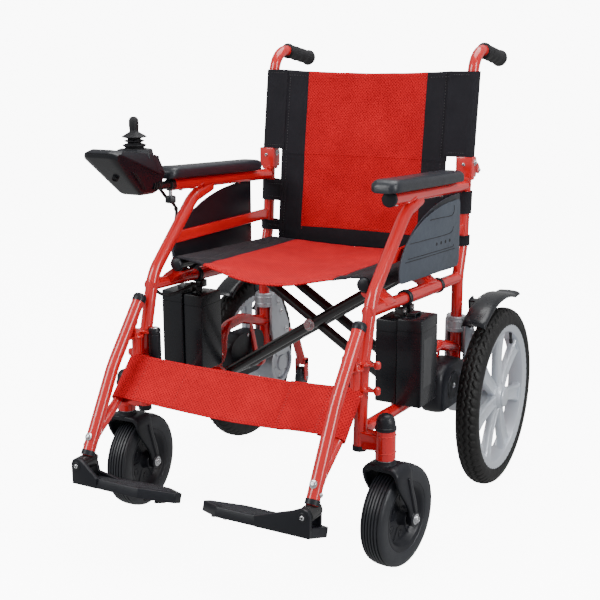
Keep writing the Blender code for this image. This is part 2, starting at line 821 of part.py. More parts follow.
def seat_sling():
    """The seat's cloth over both seat tubes, sagging between them, and most at its front edge."""
    shape = bmesh.new()
    rows = []
    for y, most in ((-0.132, 0.036), (-0.040, 0.029), (0.060, 0.021), (0.160, 0.013), (0.248, 0.006)):
        row = []
        for i in range(9):
            across = -1 + 2 * i / 8
            sag = most * (1 - across * across) ** 2
            z = pitched(SEAT_Z0, y) + SEAT_R + 0.0010 - sag
            row.append([shape.verts.new((across * (SEAT_X + 0.004), y, z + lift)) for lift in (0.0, 0.004)])
        rows.append(row)
    for low, high in zip(rows, rows[1:]):
        for i in range(8):
            for k in (0, 1):
                shape.faces.new((low[i][k], low[i + 1][k], high[i + 1][k], high[i][k]))
        for i in (0, 8):
            shape.faces.new((low[i][0], high[i][0], high[i][1], low[i][1]))
    for row in (rows[0], rows[-1]):
        for i in range(8):
            shape.faces.new((row[i][0], row[i + 1][0], row[i + 1][1], row[i][1]))
    return mesh_object("sling", shape)


def back_cloth(z0, z1, y0, y1, half):
    """A flat back panel between two heights, just in front of the back tubes."""
    outline = [(y0 - 0.0045, z0), (y0, z0), (y1, z1), (y1 - 0.0045, z1)]
    return plate(outline, 0, -half, half)


def calf_strap(x0, x1):
    """A length of the strap that runs behind the calves, just in front of the hangers' rear tubes."""
    outline = [(-0.2585, 0.352), (-0.2625, 0.352), (-0.3275, 0.281), (-0.3235, 0.281)]
    return plate(outline, 0, x0, x1)


# The controller.


def controller_box():
    """The controller's wedge-shaped case."""
    outline = [(-0.308, 0.742), (-0.300, 0.720), (-0.262, 0.690), (-0.170, 0.684), (-0.152, 0.700),
               (-0.152, 0.744), (-0.176, 0.756), (-0.290, 0.764), (-0.306, 0.756)]
    case = plate(outline, 0, STICK.x - 0.040, STICK.x + 0.040)
    well = rod((STICK.x, STICK.y, 0.742), (STICK.x, STICK.y, 0.80), 0.0195, 20)
    port = rod((STICK.x, -0.32, 0.718), (STICK.x, -0.292, 0.724), 0.006, 12)
    key = block((STICK.x - 0.030, -0.196, 0.7475), (STICK.x - 0.008, -0.174, 0.78))
    rod_bore = rod((STICK.x, -0.162, 0.693), (STICK.x, -0.14, 0.6925), 0.0092, 12)
    return cut(case, well, port, key, rod_bore)


def controller_arm():
    """The bar that carries the controller, with its clamp in the armrest tube and the knob below."""
    bar = rod((STICK.x, -0.1615, 0.693), (STICK.x, -0.1005, 0.6902), 0.0088, 12)
    clamp = rod((STICK.x, -0.114, 0.6908), (STICK.x, -0.1005, 0.6902), 0.0124, 14)
    screw = rod((STICK.x, -0.107, 0.684), (STICK.x, -0.107, 0.664), 0.0040, 10)
    knob = rod((STICK.x, -0.107, 0.668), (STICK.x, -0.107, 0.652), 0.0120, 12)
    return joined(bar, clamp, screw, knob)


def joystick_gimbal():
    """The ring that tilts sideways under the joystick's boot."""
    ring = tube([(STICK.x, STICK.y, STICK.z - 0.008), (STICK.x, STICK.y, STICK.z + 0.008)], 0.0175, 20)
    ends = [(STICK.x, STICK.y, STICK.z + h) for h in (-0.02, 0.02)]
    return cut(ring, rod(*ends, 0.0145, 16))


def joystick_stick():
    """The stick with its knob, which leans inside the gimbal."""
    x, y, z = STICK
    stations = [
        (-0.006, 0.0075),
        (0.008, 0.0080),
        (0.015, 0.0125),
        (0.022, 0.0090),
        (0.034, 0.0060),
        (0.046, 0.0055),
        (0.052, 0.0110),
        (0.060, 0.0125),
        (0.066, 0.0100),
        (0.069, 0.0040),
    ]
    return tube([(x, y, z + h) for h, _ in stations], [r for _, r in stations], 16)


def power_button():
    return block((STICK.x - 0.0290, -0.195, 0.7495), (STICK.x - 0.0090, -0.175, 0.7610))


CABLE_ROUTE = [
    (-0.2640, -0.1510, 0.706),
    (-0.2640, -0.1440, 0.7055),
    (-0.2655, -0.126, 0.689),
    (-0.2665, -0.098, 0.664),
    (-0.2672, -0.062, 0.636),
    (-0.2672, -0.064, 0.606),
    (-0.2665, -0.090, 0.574),
    (-0.2665, -0.120, 0.542),
    (-0.2660, -0.146, 0.505),
    (-0.2600, -0.150, 0.474),
    (-0.2450, -0.132, 0.461),
    (-0.2300, -0.100, 0.466),
    (-0.2220, -0.066, 0.4745),
    (-0.2200, -0.051, 0.467),
    (-0.2200, -0.050, 0.4560),
]


def smooth_path(points, spacing):
    """Points about this far apart on a Catmull-Rom curve through the given points."""
    points = [Vector(p) for p in points]
    padded = [2 * points[0] - points[1], *points, 2 * points[-1] - points[-2]]
    path = []
    for a, b, c, d in zip(padded, padded[1:], padded[2:], padded[3:]):
        steps = max(1, round((c - b).length / spacing))
        for i in range(steps):
            t = i / steps
            path.append(0.5 * (2 * b + (c - a) * t + (2 * a - 5 * b + 4 * c - d) * t * t
                               + (3 * b - a - 3 * c + d) * t ** 3))
    path.append(points[-1])
    return path


def control_cable():
    """The lead from the controller to the power module, held along the frame all the way."""
    return tube(smooth_path(CABLE_ROUTE, 0.018), 0.0035, 6)


# Assembly.


def build_side(s):
    side = SIDES[s]

    def put(name, shape, material, origin=(0, 0, 0), turn=None):
        return place(f"{name}_{side}", shape, material, origin, turn)

    put("front_tube", front_tube(s), "red_paint")
    put("side_rail", side_rail(s), "red_paint")
    put("lower_rail", lower_rail(s), "red_paint")
    put("back_post", back_post(s), "red_paint")
    put("side_panel", side_panel(s), "grey_plastic")
    put("arm_pad", arm_pad(s), "soft_black")
    hinge = (s * FRAME_X, *HINGE)
    put("back_cane", back_cane(s), "red_paint", hinge)
    put("push_grip", push_grip(s), "rubber", hinge)

    stem = Vector((s * CASTER_STEM[0], CASTER_STEM[1], 0.250))
    swivel = Matrix.Rotation(SWIVEL_REST[s], 4, "Z")
    put("caster_head", caster_head(s), "red_paint")
    put("caster_fork", caster_fork(s), "black_plastic", stem, swivel)
    wheel = put("caster_wheel", caster_wheel(s), "rubber", stem, swivel)
    axle = Vector((0, CASTER_TRAIL, CASTER_R - stem.z))
    axle.rotate(swivel.to_3x3())
    wheel.data.transform(Matrix.Translation(-axle))
    wheel.location = stem + axle

    hub = (s * WHEEL.x, WHEEL.y, WHEEL.z)
    put("drive_motor", drive_motor(s), "cast_alloy")
    put("drive_bracket", drive_bracket(s), "cast_alloy")
    put("drive_cover", drive_cover(s), "black_plastic")
    put("wheel_rim", wheel_rim(s), "silver_plastic", hub)
    put("wheel_tyre", wheel_tyre(s), "rubber", hub)
    put("wheel_fender", wheel_fender(s), "black_plastic")
    put("battery_box", battery_box(s), "black_plastic")
    put("anti_tipper", anti_tipper(s), "red_paint")
    put("anti_tip_wheel", anti_tip_wheel(s), "rubber", (s * FRAME_X, *ANTI_TIP))
    swing = (s * FRAME_X, -0.241, 0.370)
    put("leg_hanger", leg_hanger(s), "red_paint", swing)
    put("footrest_stem", footrest_stem(s), "black_paint", swing)
    put("footplate", footplate(s), "black_plastic", (s * FOOT_HINGE[0], -0.4225, FOOT_HINGE[1]))


def build():
    global chair
    for old in list(bpy.data.objects):
        bpy.data.objects.remove(old)
    chair = bpy.data.objects.new("chair", None)
    chair.location = (0, CHAIR_Y, 0)
    bpy.context.scene.collection.objects.link(chair)

    for s in SIDES:
        build_side(s)

    pivot = (-BRACE_X, 0, BRACE_LOW_Z0)
    middle = (0, 0, BRACE_MID_Z0)
    ends = [(0, y, pitched(BRACE_MID_Z0, y)) for y in (0.03, 0.22)]
    bolts = [rod(*ends, 0.0049, 12) for _ in range(2)]
    place("cross_brace_a", cut(cross_brace(-1, 0.0520, 0.1460), bolts[0]), "black_paint", pivot)
    place("cross_brace_b", cut(cross_brace(1, 0.0760, 0.1700), bolts[1]), "black_paint", middle)
    place("brace_bolts", brace_bolts(), "steel", middle)
    place("seat_sling", seat_sling(), "red_mesh", middle)

    hinge = (-FRAME_X, *HINGE)
    place("back_cloth_upper", back_cloth(0.7255, 0.915, 0.2845, 0.3085, FRAME_X), "red_mesh", hinge)
    place("back_cloth_lower", back_cloth(0.5400, 0.7200, 0.2705, 0.2825, 0.232), "red_mesh")
    swing = (-FRAME_X, -0.241, 0.370)
    place("calf_strap", calf_strap(-0.232, 0.128), "red_mesh", swing)
    place("calf_strap_end", calf_strap(0.1283, 0.232), "red_mesh", (FRAME_X, swing[1], swing[2]))

    place("controller_box", controller_box(), "black_plastic")
    place("controller_arm", controller_arm(), "black_paint")
    place("joystick_gimbal", joystick_gimbal(), "black_plastic", STICK)
    place("joystick_stick", joystick_stick(), "rubber", STICK)
    place("power_button", power_button(), "grey_plastic")
    place("control_cable", control_cable(), "rubber")


build()
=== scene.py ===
"""The power wheelchair as it looks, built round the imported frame. Metres, +Z up, facing -Y.

Shapes are made in the chair's own coordinates, where y = 0 is SHIFT.y behind the frame's origin,
and `s` is the side: -1 the occupant's right, 1 the left.
"""

import math

import bmesh
import bpy
import numpy as np
from mathutils import Matrix, Vector, noise


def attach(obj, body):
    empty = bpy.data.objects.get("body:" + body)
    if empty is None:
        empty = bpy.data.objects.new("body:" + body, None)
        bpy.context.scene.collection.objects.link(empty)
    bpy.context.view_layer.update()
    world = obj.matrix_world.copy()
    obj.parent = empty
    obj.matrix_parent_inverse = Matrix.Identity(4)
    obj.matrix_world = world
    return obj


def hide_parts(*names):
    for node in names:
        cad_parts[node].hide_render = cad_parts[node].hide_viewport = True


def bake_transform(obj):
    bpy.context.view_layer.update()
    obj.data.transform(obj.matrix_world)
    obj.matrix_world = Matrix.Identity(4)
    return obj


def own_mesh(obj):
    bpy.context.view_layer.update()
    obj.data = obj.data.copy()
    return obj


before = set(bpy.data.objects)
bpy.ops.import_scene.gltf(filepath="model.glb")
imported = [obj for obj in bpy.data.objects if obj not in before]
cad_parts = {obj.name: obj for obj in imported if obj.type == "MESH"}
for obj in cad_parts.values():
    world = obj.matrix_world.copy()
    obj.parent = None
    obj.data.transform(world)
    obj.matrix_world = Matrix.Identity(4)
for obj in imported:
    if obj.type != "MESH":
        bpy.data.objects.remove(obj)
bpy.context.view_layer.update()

SHIFT = Vector((0, -0.038, 0))
PITCH = math.tan(math.radians(2.6))
SIDES = {-1: "right", 1: "left"}
X = 0.247  # plane of each side frame
R = 0.0127  # its tubes
SEAT_X, SEAT_R, SEAT_Z = 0.214, 0.0115, 0.5253
BRACE_X, BRACE_Z, BRACE_MID = 0.218, 0.2502, 0.3890
ARM_Z, RAIL_Z, LOWER_Z, POST_Y = 0.6855, 0.4848, 0.2635, 0.268
HUB = Vector((0.326, 0.316, 0.200))
STEM = Vector((0.298, -0.215, 0.250))
SWIVEL = {1: math.radians(-7.0), -1: math.radians(3.6)}
HINGE = Vector((0, 0.302, 0.722))
STICK = Vector((-0.247, -0.222, 0.772))


def pitched(height, y):
    return height - y * PITCH


# Materials.


def node(tree, kind, **values):
    """A shader node with these properties, or input values where the name is an input's."""
    made = tree.nodes.new("ShaderNode" + kind)
    for key, value in values.items():
        name = key.replace("_", " ")
        if name in made.inputs:
            made.inputs[name].default_value = value
        else:
            setattr(made, key, value)
    return made


def ramp(tree, source, low, high, dark=0.0, light=1.0):
    """The source's range low..high stretched to dark..light."""
    made = node(tree, "MapRange", From_Min=low, From_Max=high, To_Min=dark, To_Max=light)
    tree.links.new(source, made.inputs["Value"])
    return made.outputs["Result"]


def mixed(tree, share, a, b):
    """Colour a turning into b by share. Each is a colour or a socket."""
    made = tree.nodes.new("ShaderNodeMix")
    made.data_type = "RGBA"
    for socket, value in ((made.inputs[0], share), (made.inputs[6], a), (made.inputs[7], b)):
        if isinstance(value, bpy.types.NodeSocket):
            tree.links.new(value, socket)
        else:
            socket.default_value = (*value, 1.0) if isinstance(value, tuple) else value
    return made.outputs[2]


def bumped(tree, shader, height, strength, distance):
    bump = node(tree, "Bump", Strength=strength, Distance=distance)
    tree.links.new(height, bump.inputs["Height"])
    tree.links.new(bump.outputs["Normal"], shader.inputs["Normal"])
    return bump


def moulded(name, colour, rough, metallic=0.0, coat=0.0, grain=700.0, bump=0.1, depth=0.0004,
            vary=0.12, worn=None, wear=0.35, streak=1.0, gleam=0.5):
    """A hard finish: cloudy colour, uneven roughness, fine grain, and edges rubbed to `worn`."""
    made = bpy.data.materials.new(name)
    made.use_nodes = True
    tree = made.node_tree
    shader = tree.nodes["Principled BSDF"]
    place = node(tree, "TexCoord").outputs["Object"]
    cloud = node(tree, "TexNoise", Scale=9.0, Detail=5.0, Roughness=0.6)
    fine = node(tree, "TexNoise", Scale=grain, Detail=3.0)
    scuff = node(tree, "TexNoise", Scale=60.0, Detail=8.0, Roughness=0.7, Distortion=0.4)
    for texture in (cloud, fine, scuff):
        tree.links.new(place, texture.inputs["Vector"])
    dark = tuple(c * (1 - vary) for c in colour)
    light = tuple(min(1.0, c * (1 + vary)) for c in colour)
    tint = mixed(tree, ramp(tree, cloud.outputs["Fac"], 0.3, 0.7), dark, light)
    if worn:
        edge = ramp(tree, node(tree, "NewGeometry").outputs["Pointiness"], 0.58, 0.66)
        rub = ramp(tree, scuff.outputs["Fac"], 0.48, 0.62)
        both = node(tree, "Math", operation="MULTIPLY")
        tree.links.new(edge, both.inputs[0])
        tree.links.new(rub, both.inputs[1])
        share = ramp(tree, both.outputs[0], 0.0, 1.0, 0.0, wear)
        tint = mixed(tree, share, tint, worn)
    tree.links.new(tint, shader.inputs["Base Color"])
    gloss = ramp(tree, scuff.outputs["Fac"], 0.3, 0.75, rough * 0.85, min(1.0, rough * 1.25 * streak))
    tree.links.new(gloss, shader.inputs["Roughness"])
    shader.inputs["Metallic"].default_value = metallic
    shader.inputs["Specular IOR Level"].default_value = gleam
    shader.inputs["Coat Weight"].default_value = coat
    shader.inputs["Coat Roughness"].default_value = 0.06
    bumped(tree, shader, fine.outputs["Fac"], bump, depth)
    return made


def woven(name, colour, hole, pitch, turn, depth, sheen=0.3, rough=0.85, fill=0.5):
    """Cloth by its UV, which is in metres: crossing threads of this pitch, with dark gaps between."""
    made = bpy.data.materials.new(name)
    made.use_nodes = True
    tree = made.node_tree
    shader = tree.nodes["Principled BSDF"]
    place = node(tree, "Mapping")
    place.inputs["Rotation"].default_value = (0, 0, turn)
    tree.links.new(node(tree, "TexCoord").outputs["UV"], place.inputs["Vector"])
    threads = []
    for direction in ("X", "Y"):
        wave = node(tree, "TexWave", bands_direction=direction, Scale=0.314159 / pitch,
                    Distortion=0.35, Detail=1.0, Detail_Scale=2.0)
        tree.links.new(place.outputs["Vector"], wave.inputs["Vector"])
        threads.append(wave.outputs["Fac"])
    both = node(tree, "Math", operation="MULTIPLY")
    tree.links.new(threads[0], both.inputs[0])
    tree.links.new(threads[1], both.inputs[1])
    gap = ramp(tree, both.outputs[0], fill, 1.0)
    cloud = node(tree, "TexNoise", Scale=14.0, Detail=6.0, Roughness=0.65)
    fuzz = node(tree, "TexNoise", Scale=900.0, Detail=2.0)
    for texture in (cloud, fuzz):
        tree.links.new(node(tree, "TexCoord").outputs["Object"], texture.inputs["Vector"])
    dark = tuple(c * 0.82 for c in colour)
    light = tuple(min(1.0, c * 1.14) for c in colour)
    tint = mixed(tree, ramp(tree, cloud.outputs["Fac"], 0.3, 0.7), dark, light)
    tint = mixed(tree, ramp(tree, fuzz.outputs["Fac"], 0.35, 0.8, 0.0, 0.25), tint, light)
    tree.links.new(mixed(tree, gap, tint, hole), shader.inputs["Base Color"])
    shader.inputs["Roughness"].default_value = rough
    shader.inputs["Specular IOR Level"].default_value = 0.15
    shader.inputs["Sheen Weight"].default_value = sheen
    shader.inputs["Sheen Roughness"].default_value = 0.45
    lift = node(tree, "Math", operation="SUBTRACT")
    lift.inputs[0].default_value = 1.0
    tree.links.new(gap, lift.inputs[1])
    bumped(tree, shader, lift.outputs[0], 0.7, depth)
    return made


RED = moulded("red_paint", (0.62, 0.010, 0.012), 0.20, coat=0.6, grain=260, bump=0.05, vary=0.07,
              worn=(0.80, 0.10, 0.08), wear=0.4)
BLACK_PAINT = moulded("black_paint", (0.012, 0.012, 0.013), 0.24, coat=0.35, grain=420, bump=0.06,
                      worn=(0.10, 0.10, 0.11))
PLASTIC = moulded("black_plastic", (0.008, 0.009, 0.013), 0.38, grain=1100, bump=0.20,
                  worn=(0.07, 0.075, 0.09),
                  gleam=0.36)
CASE = moulded("battery_plastic", (0.006, 0.007, 0.010), 0.28, coat=0.12, grain=500, bump=0.12,
               worn=(0.09, 0.10, 0.12), gleam=0.36)
PANEL = moulded("panel_plastic", (0.050, 0.062, 0.082), 0.48, grain=900, bump=0.35, worn=(0.13, 0.15, 0.18))
PAD = moulded("pad_foam", (0.014, 0.016, 0.022), 0.36, grain=520, bump=0.35, depth=0.0006,
              worn=(0.07, 0.075, 0.09))
RUBBER = moulded("rubber", (0.012, 0.012, 0.014), 0.62, grain=800, bump=0.35, worn=(0.06, 0.06, 0.065),
                 gleam=0.35)
TYRE = moulded("tyre_rubber", (0.009, 0.009, 0.009), 0.58, grain=600, bump=0.4, vary=0.2,
               worn=(0.045, 0.042, 0.040), wear=0.5, gleam=0.35)
SOLID_TYRE = moulded("solid_tyre", (0.016, 0.018, 0.023), 0.42, grain=700, bump=0.25, vary=0.15,
                     worn=(0.05, 0.05, 0.06))
RIM = moulded("rim_silver", (0.60, 0.64, 0.70), 0.34, metallic=0.35, coat=0.3, grain=900, bump=0.05,
              vary=0.05, worn=(0.85, 0.88, 0.92))
CAST = moulded("cast_alloy", (0.50, 0.52, 0.56), 0.42, metallic=0.75, grain=420, bump=0.35, vary=0.12,
               worn=(0.75, 0.76, 0.78))
STEEL = moulded("bolt_steel", (0.70, 0.71, 0.73), 0.24, metallic=1.0, grain=500, bump=0.05, vary=0.06,
                worn=(0.9, 0.9, 0.92))
STICKER = moulded("sticker_film", (0.030, 0.031, 0.034), 0.35, grain=900, bump=0.04)
# Near-black matte finish that paints shade: it darkens the side panels' grooves and dimples, the controller's
# vent slots and the gap between the battery modules.
SHADE_BLACK = moulded("painted_recess_shade", (0.006, 0.006, 0.007), 0.7, grain=600, bump=0.1)
GREY = moulded("button_grey", (0.10, 0.11, 0.125), 0.45, grain=900, bump=0.15, worn=(0.2, 0.2, 0.22))
LAMP = moulded("display_window", (0.010, 0.012, 0.016), 0.08, coat=0.8, grain=300, bump=0.01)
MESH = woven("red_mesh", (0.58, 0.006, 0.012), (0.20, 0.001, 0.003), 0.0050, math.radians(45), 0.0010,
             sheen=0.03, fill=0.35)
OXFORD = woven("black_oxford", (0.014, 0.0135, 0.018), (0.006, 0.006, 0.008), 0.0011, 0.0, 0.0003,
               sheen=0.06, rough=0.7)
THREAD = moulded("stitch_thread", (0.05, 0.048, 0.052), 0.6, grain=2500, bump=0.5)
RED_THREAD = moulded("red_thread", (0.52, 0.014, 0.018), 0.6, grain=2500, bump=0.5)


# Shapes. Each adds to a bmesh, in the chair's coordinates, with a material index.


def rounded(points, radius, steps=10):
    """The path with each inner corner turned into an arc."""
    points = [Vector(p) for p in points]
    path = [points[0]]
    for before, corner, after in zip(points, points[1:], points[2:]):
        into = (corner - before).normalized()
        out = (after - corner).normalized()
        turn = into.angle(out)
        if turn < 1e-4:
            path.append(corner)
            continue
        reach = min(radius * math.tan(turn / 2), 0.48 * (corner - before).length,
                    0.48 * (after - corner).length)
        size = reach / math.tan(turn / 2)
        centre = corner + (out - into).normalized() * (size / math.cos(turn / 2))
        first = corner - into * reach - centre
        axis = into.cross(out).normalized()
        for i in range(steps + 1):
            path.append(centre + Matrix.Rotation(turn * i / steps, 3, axis) @ first)
    path.append(points[-1])
    return path


def curved(points, spacing=0.006):
    """Points this far apart on a smooth curve through the given ones."""
    points = [Vector(p) for p in points]
    ends = [2 * points[0] - points[1], *points, 2 * points[-1] - points[-2]]
    path = []
    for a, b, c, d in zip(ends, ends[1:], ends[2:], ends[3:]):
        steps = max(1, round((c - b).length / spacing))
        for i in range(steps):
            t = i / steps
            path.append(0.5 * (2 * b + (c - a) * t + (2 * a - 5 * b + 4 * c - d) * t * t
                               + (3 * b - a - 3 * c + d) * t ** 3))
    path.append(points[-1])
    return path


def skin(bm, rings, mat=0, caps=True, closed=False):
    """Faces between rings of vertices, each ring a closed loop."""
    faces = []
    pairs = list(zip(rings, rings[1:]))
    if closed:
        pairs.append((rings[-1], rings[0]))
    for low, high in pairs:
        count = max(len(low), len(high))
        for k in range(count):
            j = (k + 1) % count
            corners = [low[k % len(low)], low[j % len(low)], high[j % len(high)], high[k % len(high)]]
            corners = list(dict.fromkeys(corners))
            if len(corners) > 2:
                faces.append(bm.faces.new(corners))
    if caps and not closed:
        faces += [bm.faces.new(ring) for ring in (rings[0], rings[-1]) if len(ring) > 2]
    for face in faces:
        face.material_index = mat
        face.smooth = True
    return faces


def sweep(bm, path, radius, mat=0, sides=28, soft=0.0008):
    """A round bar along the path. The radius is a number or one for each point; soft rounds the ends."""
    path = [Vector(p) for p in path]
    radii = list(radius) if isinstance(radius, (list, tuple)) else [radius] * len(path)
    if soft:
        first = (path[1] - path[0]).normalized()
        last = (path[-1] - path[-2]).normalized()
        path = [path[0], path[0] + first * soft, *path[1:-1], path[-1] - last * soft, path[-1]]
        radii = [radii[0] - soft, radii[0], *radii[1:-1], radii[-1], radii[-1] - soft]
    runs = [(b - a).normalized() for a, b in zip(path, path[1:])]
    side = runs[0].orthogonal().normalized()
    rings = []
    for i, point in enumerate(path):
        before = runs[max(i - 1, 0)]
        normal = (before + runs[min(i, len(runs) - 1)]).normalized()
        side = (side - normal * side.dot(normal)).normalized()
        up = normal.cross(side)
        rings.append([bm.verts.new(point + (side * math.cos(a) + up * math.sin(a)) * radii[i])
                      for a in (2 * math.pi * (k + 0.5) / sides for k in range(sides))])
    skin(bm, rings, mat)


def lathe(bm, profile, centre, axis=(1, 0, 0), mat=0, sides=48, closed=False, facets=None):
    """(radius, along) turned about the axis through the centre. facets gives a radius factor by angle."""
    axis = Vector(axis).normalized()
    side = Vector((0, 0, 1)) if abs(axis.z) < 0.9 else Vector((0, 1, 0))
    side = (side - axis * side.dot(axis)).normalized()
    up = axis.cross(side)
    rings = []
    for radius, along in profile:
        count = 1 if radius == 0 else sides
        ring = []
        for k in range(count):
            a = 2 * math.pi * k / sides
            grow = facets(a, along) if facets else 1.0
            ring.append(bm.verts.new(Vector(centre) + axis * along
                                     + (side * math.cos(a) + up * math.sin(a)) * radius * grow))
        rings.append(ring)
    return skin(bm, rings, mat, caps=not closed, closed=closed)


def eased(bm, faces, size, segments=3, angle=25):
    """Rounds the sharp edges of these faces."""
    edges = set()
    for face in faces:
        for edge in face.edges:
            if len(edge.link_faces) == 2 and edge.calc_face_angle(0) > math.radians(angle):
                edges.add(edge)
    if edges and size:
        out = bmesh.ops.bevel(bm, geom=list(edges), offset=size, segments=segments, profile=0.5,
                              affect="EDGES", clamp_overlap=True)
        for face in out["faces"]:
            face.smooth = True
            face.material_index = faces[0].material_index if faces[0].is_valid else face.material_index


def slab(bm, outline, axis, start, end, mat=0, ease=0.001, segments=3):
    """The outline, pairs of the two coordinates across the axis, drawn out along it and eased."""
    rings = []
    for along in (start, end):
        ring = []
        for a, b in outline:
            corner = [a, b]
            corner.insert(axis, along)
            ring.append(bm.verts.new(corner))
        rings.append(ring)
    faces = skin(bm, rings, mat)
    bmesh.ops.recalc_face_normals(bm, faces=faces)
    eased(bm, faces, ease, segments)


def block(bm, low, high, mat=0, ease=0.002, segments=3):
    (x0, y0, z0), (x1, y1, z1) = low, high
    slab(bm, [(y0, z0), (y1, z0), (y1, z1), (y0, z1)], 0, min(x0, x1), max(x0, x1), mat, ease, segments)


def fillet(outline, radius, steps=5):
    """A closed outline with its corners rounded."""
    count = len(outline)
    points = [Vector((a, b, 0)) for a, b in outline]
    found = []
    for i in range(count):
        path = rounded([points[i - 1], points[i], points[(i + 1) % count]], radius, steps)[1:-1]
        found += [(p.x, p.y) for p in path]
    return found


def ring_of(centre, size, start=0.0, end=360.0, steps=12, squash=1.0):
    """Points on an arc in the two coordinates across an axis, in degrees."""
    return [(centre[0] + size * math.cos(math.radians(start + (end - start) * i / steps)),
             centre[1] + size * squash * math.sin(math.radians(start + (end - start) * i / steps)))
            for i in range(steps + 1)]


def bolt(bm, centre, axis, size, mat=0, washer=True, dark=None):
    """A button-head socket bolt, its head proud of the centre along the axis."""
    centre, axis = Vector(centre), Vector(axis).normalized()
    if washer:
        lathe(bm, [(0, 0), (size * 1.45, 0), (size * 1.5, size * 0.08), (size * 1.5, size * 0.2),
                   (size * 1.4, size * 0.26), (0, size * 0.26)], centre, axis, mat, 28)
        centre = centre + axis * size * 0.26
    lathe(bm, [(0, 0), (size, 0), (size, size * 0.22), (size * 0.9, size * 0.5), (size * 0.66, size * 0.68),
               (size * 0.48, size * 0.70), (size * 0.44, size * 0.62)], centre, axis, mat, 28)
    lathe(bm, [(size * 0.44, size * 0.62), (size * 0.42, size * 0.2), (0, size * 0.2)], centre, axis,
          mat if dark is None else dark, 6)


def weld(bm, start, towards, radius, main, main_radius, mat=0, bead=0.0016):
    """A weld bead where a round branch, from start towards a point, runs into a main tube."""
    start, towards = Vector(start), Vector(towards)
    along = (towards - start).normalized()
    origin, direction = Vector(main[0]), (Vector(main[1]) - Vector(main[0])).normalized()
    side = along.orthogonal().normalized()
    up = along.cross(side)
    loop = []
    for k in range(40):
        a = 2 * math.pi * k / 40
        base = start + (side * math.cos(a) + up * math.sin(a)) * radius
        offset = base - origin
        p = offset - direction * offset.dot(direction)
        q = along - direction * along.dot(direction)
        disc = p.dot(q) ** 2 - q.dot(q) * (p.dot(p) - main_radius ** 2)
        if disc < 0 or q.length < 1e-6:
            return
        travel = (-p.dot(q) - math.sqrt(disc)) / q.dot(q)
        loop.append(base + along * (travel + 0.0006 * math.sin(9 * a)))
    rings = []
    for k, point in enumerate(loop):
        run = (loop[(k + 1) % 40] - loop[k - 1]).normalized()
        side = (point - start - along * (point - start).dot(along)).normalized()
        side = (side - run * side.dot(run)).normalized()
        up = run.cross(side)
        size = bead * (1 + 0.18 * math.sin(13 * k))
        rings.append([bm.verts.new(point + (side * math.cos(b) + up * math.sin(b)) * size)
                      for b in (2 * math.pi * j / 8 for j in range(8))])
    skin(bm, rings, mat, closed=True)


def put(name, bm, mats, body, cad=(), sharp=32, shift=True, move=None):
    """The bmesh as a named piece that rides on a body, in place of CAD nodes."""
    if move:
        bmesh.ops.transform(bm, matrix=move, verts=bm.verts)
    if shift:
        bmesh.ops.translate(bm, vec=SHIFT, verts=bm.verts)
    bmesh.ops.recalc_face_normals(bm, faces=bm.faces)
    mesh = bpy.data.meshes.new(name)
    bm.to_mesh(mesh)
    bm.free()
    made = bpy.data.objects.new(name, mesh)
    bpy.context.scene.collection.objects.link(made)
    for mat in mats if isinstance(mats, (list, tuple)) else [mats]:
        mesh.materials.append(mat)
    mesh.shade_smooth()
    mesh.set_sharp_from_angle(angle=math.radians(sharp))
    if body:
        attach(made, body)
    if cad:
        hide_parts(*([cad] if isinstance(cad, str) else cad))
    return made


def new():
    return bmesh.new()


# Paths that pieces share.


def diagonal_path(s):
    return rounded([(s * X, 0.085, 0.6815), (s * X, -0.022, 0.659), (s * X, -0.176, 0.515),
                    (s * X, -0.209, 0.392), (s * X, -0.219, 0.236)], 0.09)


def post_path(s):
    return rounded([(s * X, POST_Y, 0.240), (s * X, POST_Y, 0.475), (s * X, 0.291, 0.545),
                    (s * X, 0.301, 0.702)], 0.12)


def arm_line(s, start, end):
    return [(s * X, y, pitched(ARM_Z, y)) for y in (start, end)]


def hanger_path(s):
    return rounded([(s * X, -0.222, 0.476), (s * X, -0.318, 0.355), (s * X, -0.407, 0.197)], 0.25)


# The side frames.


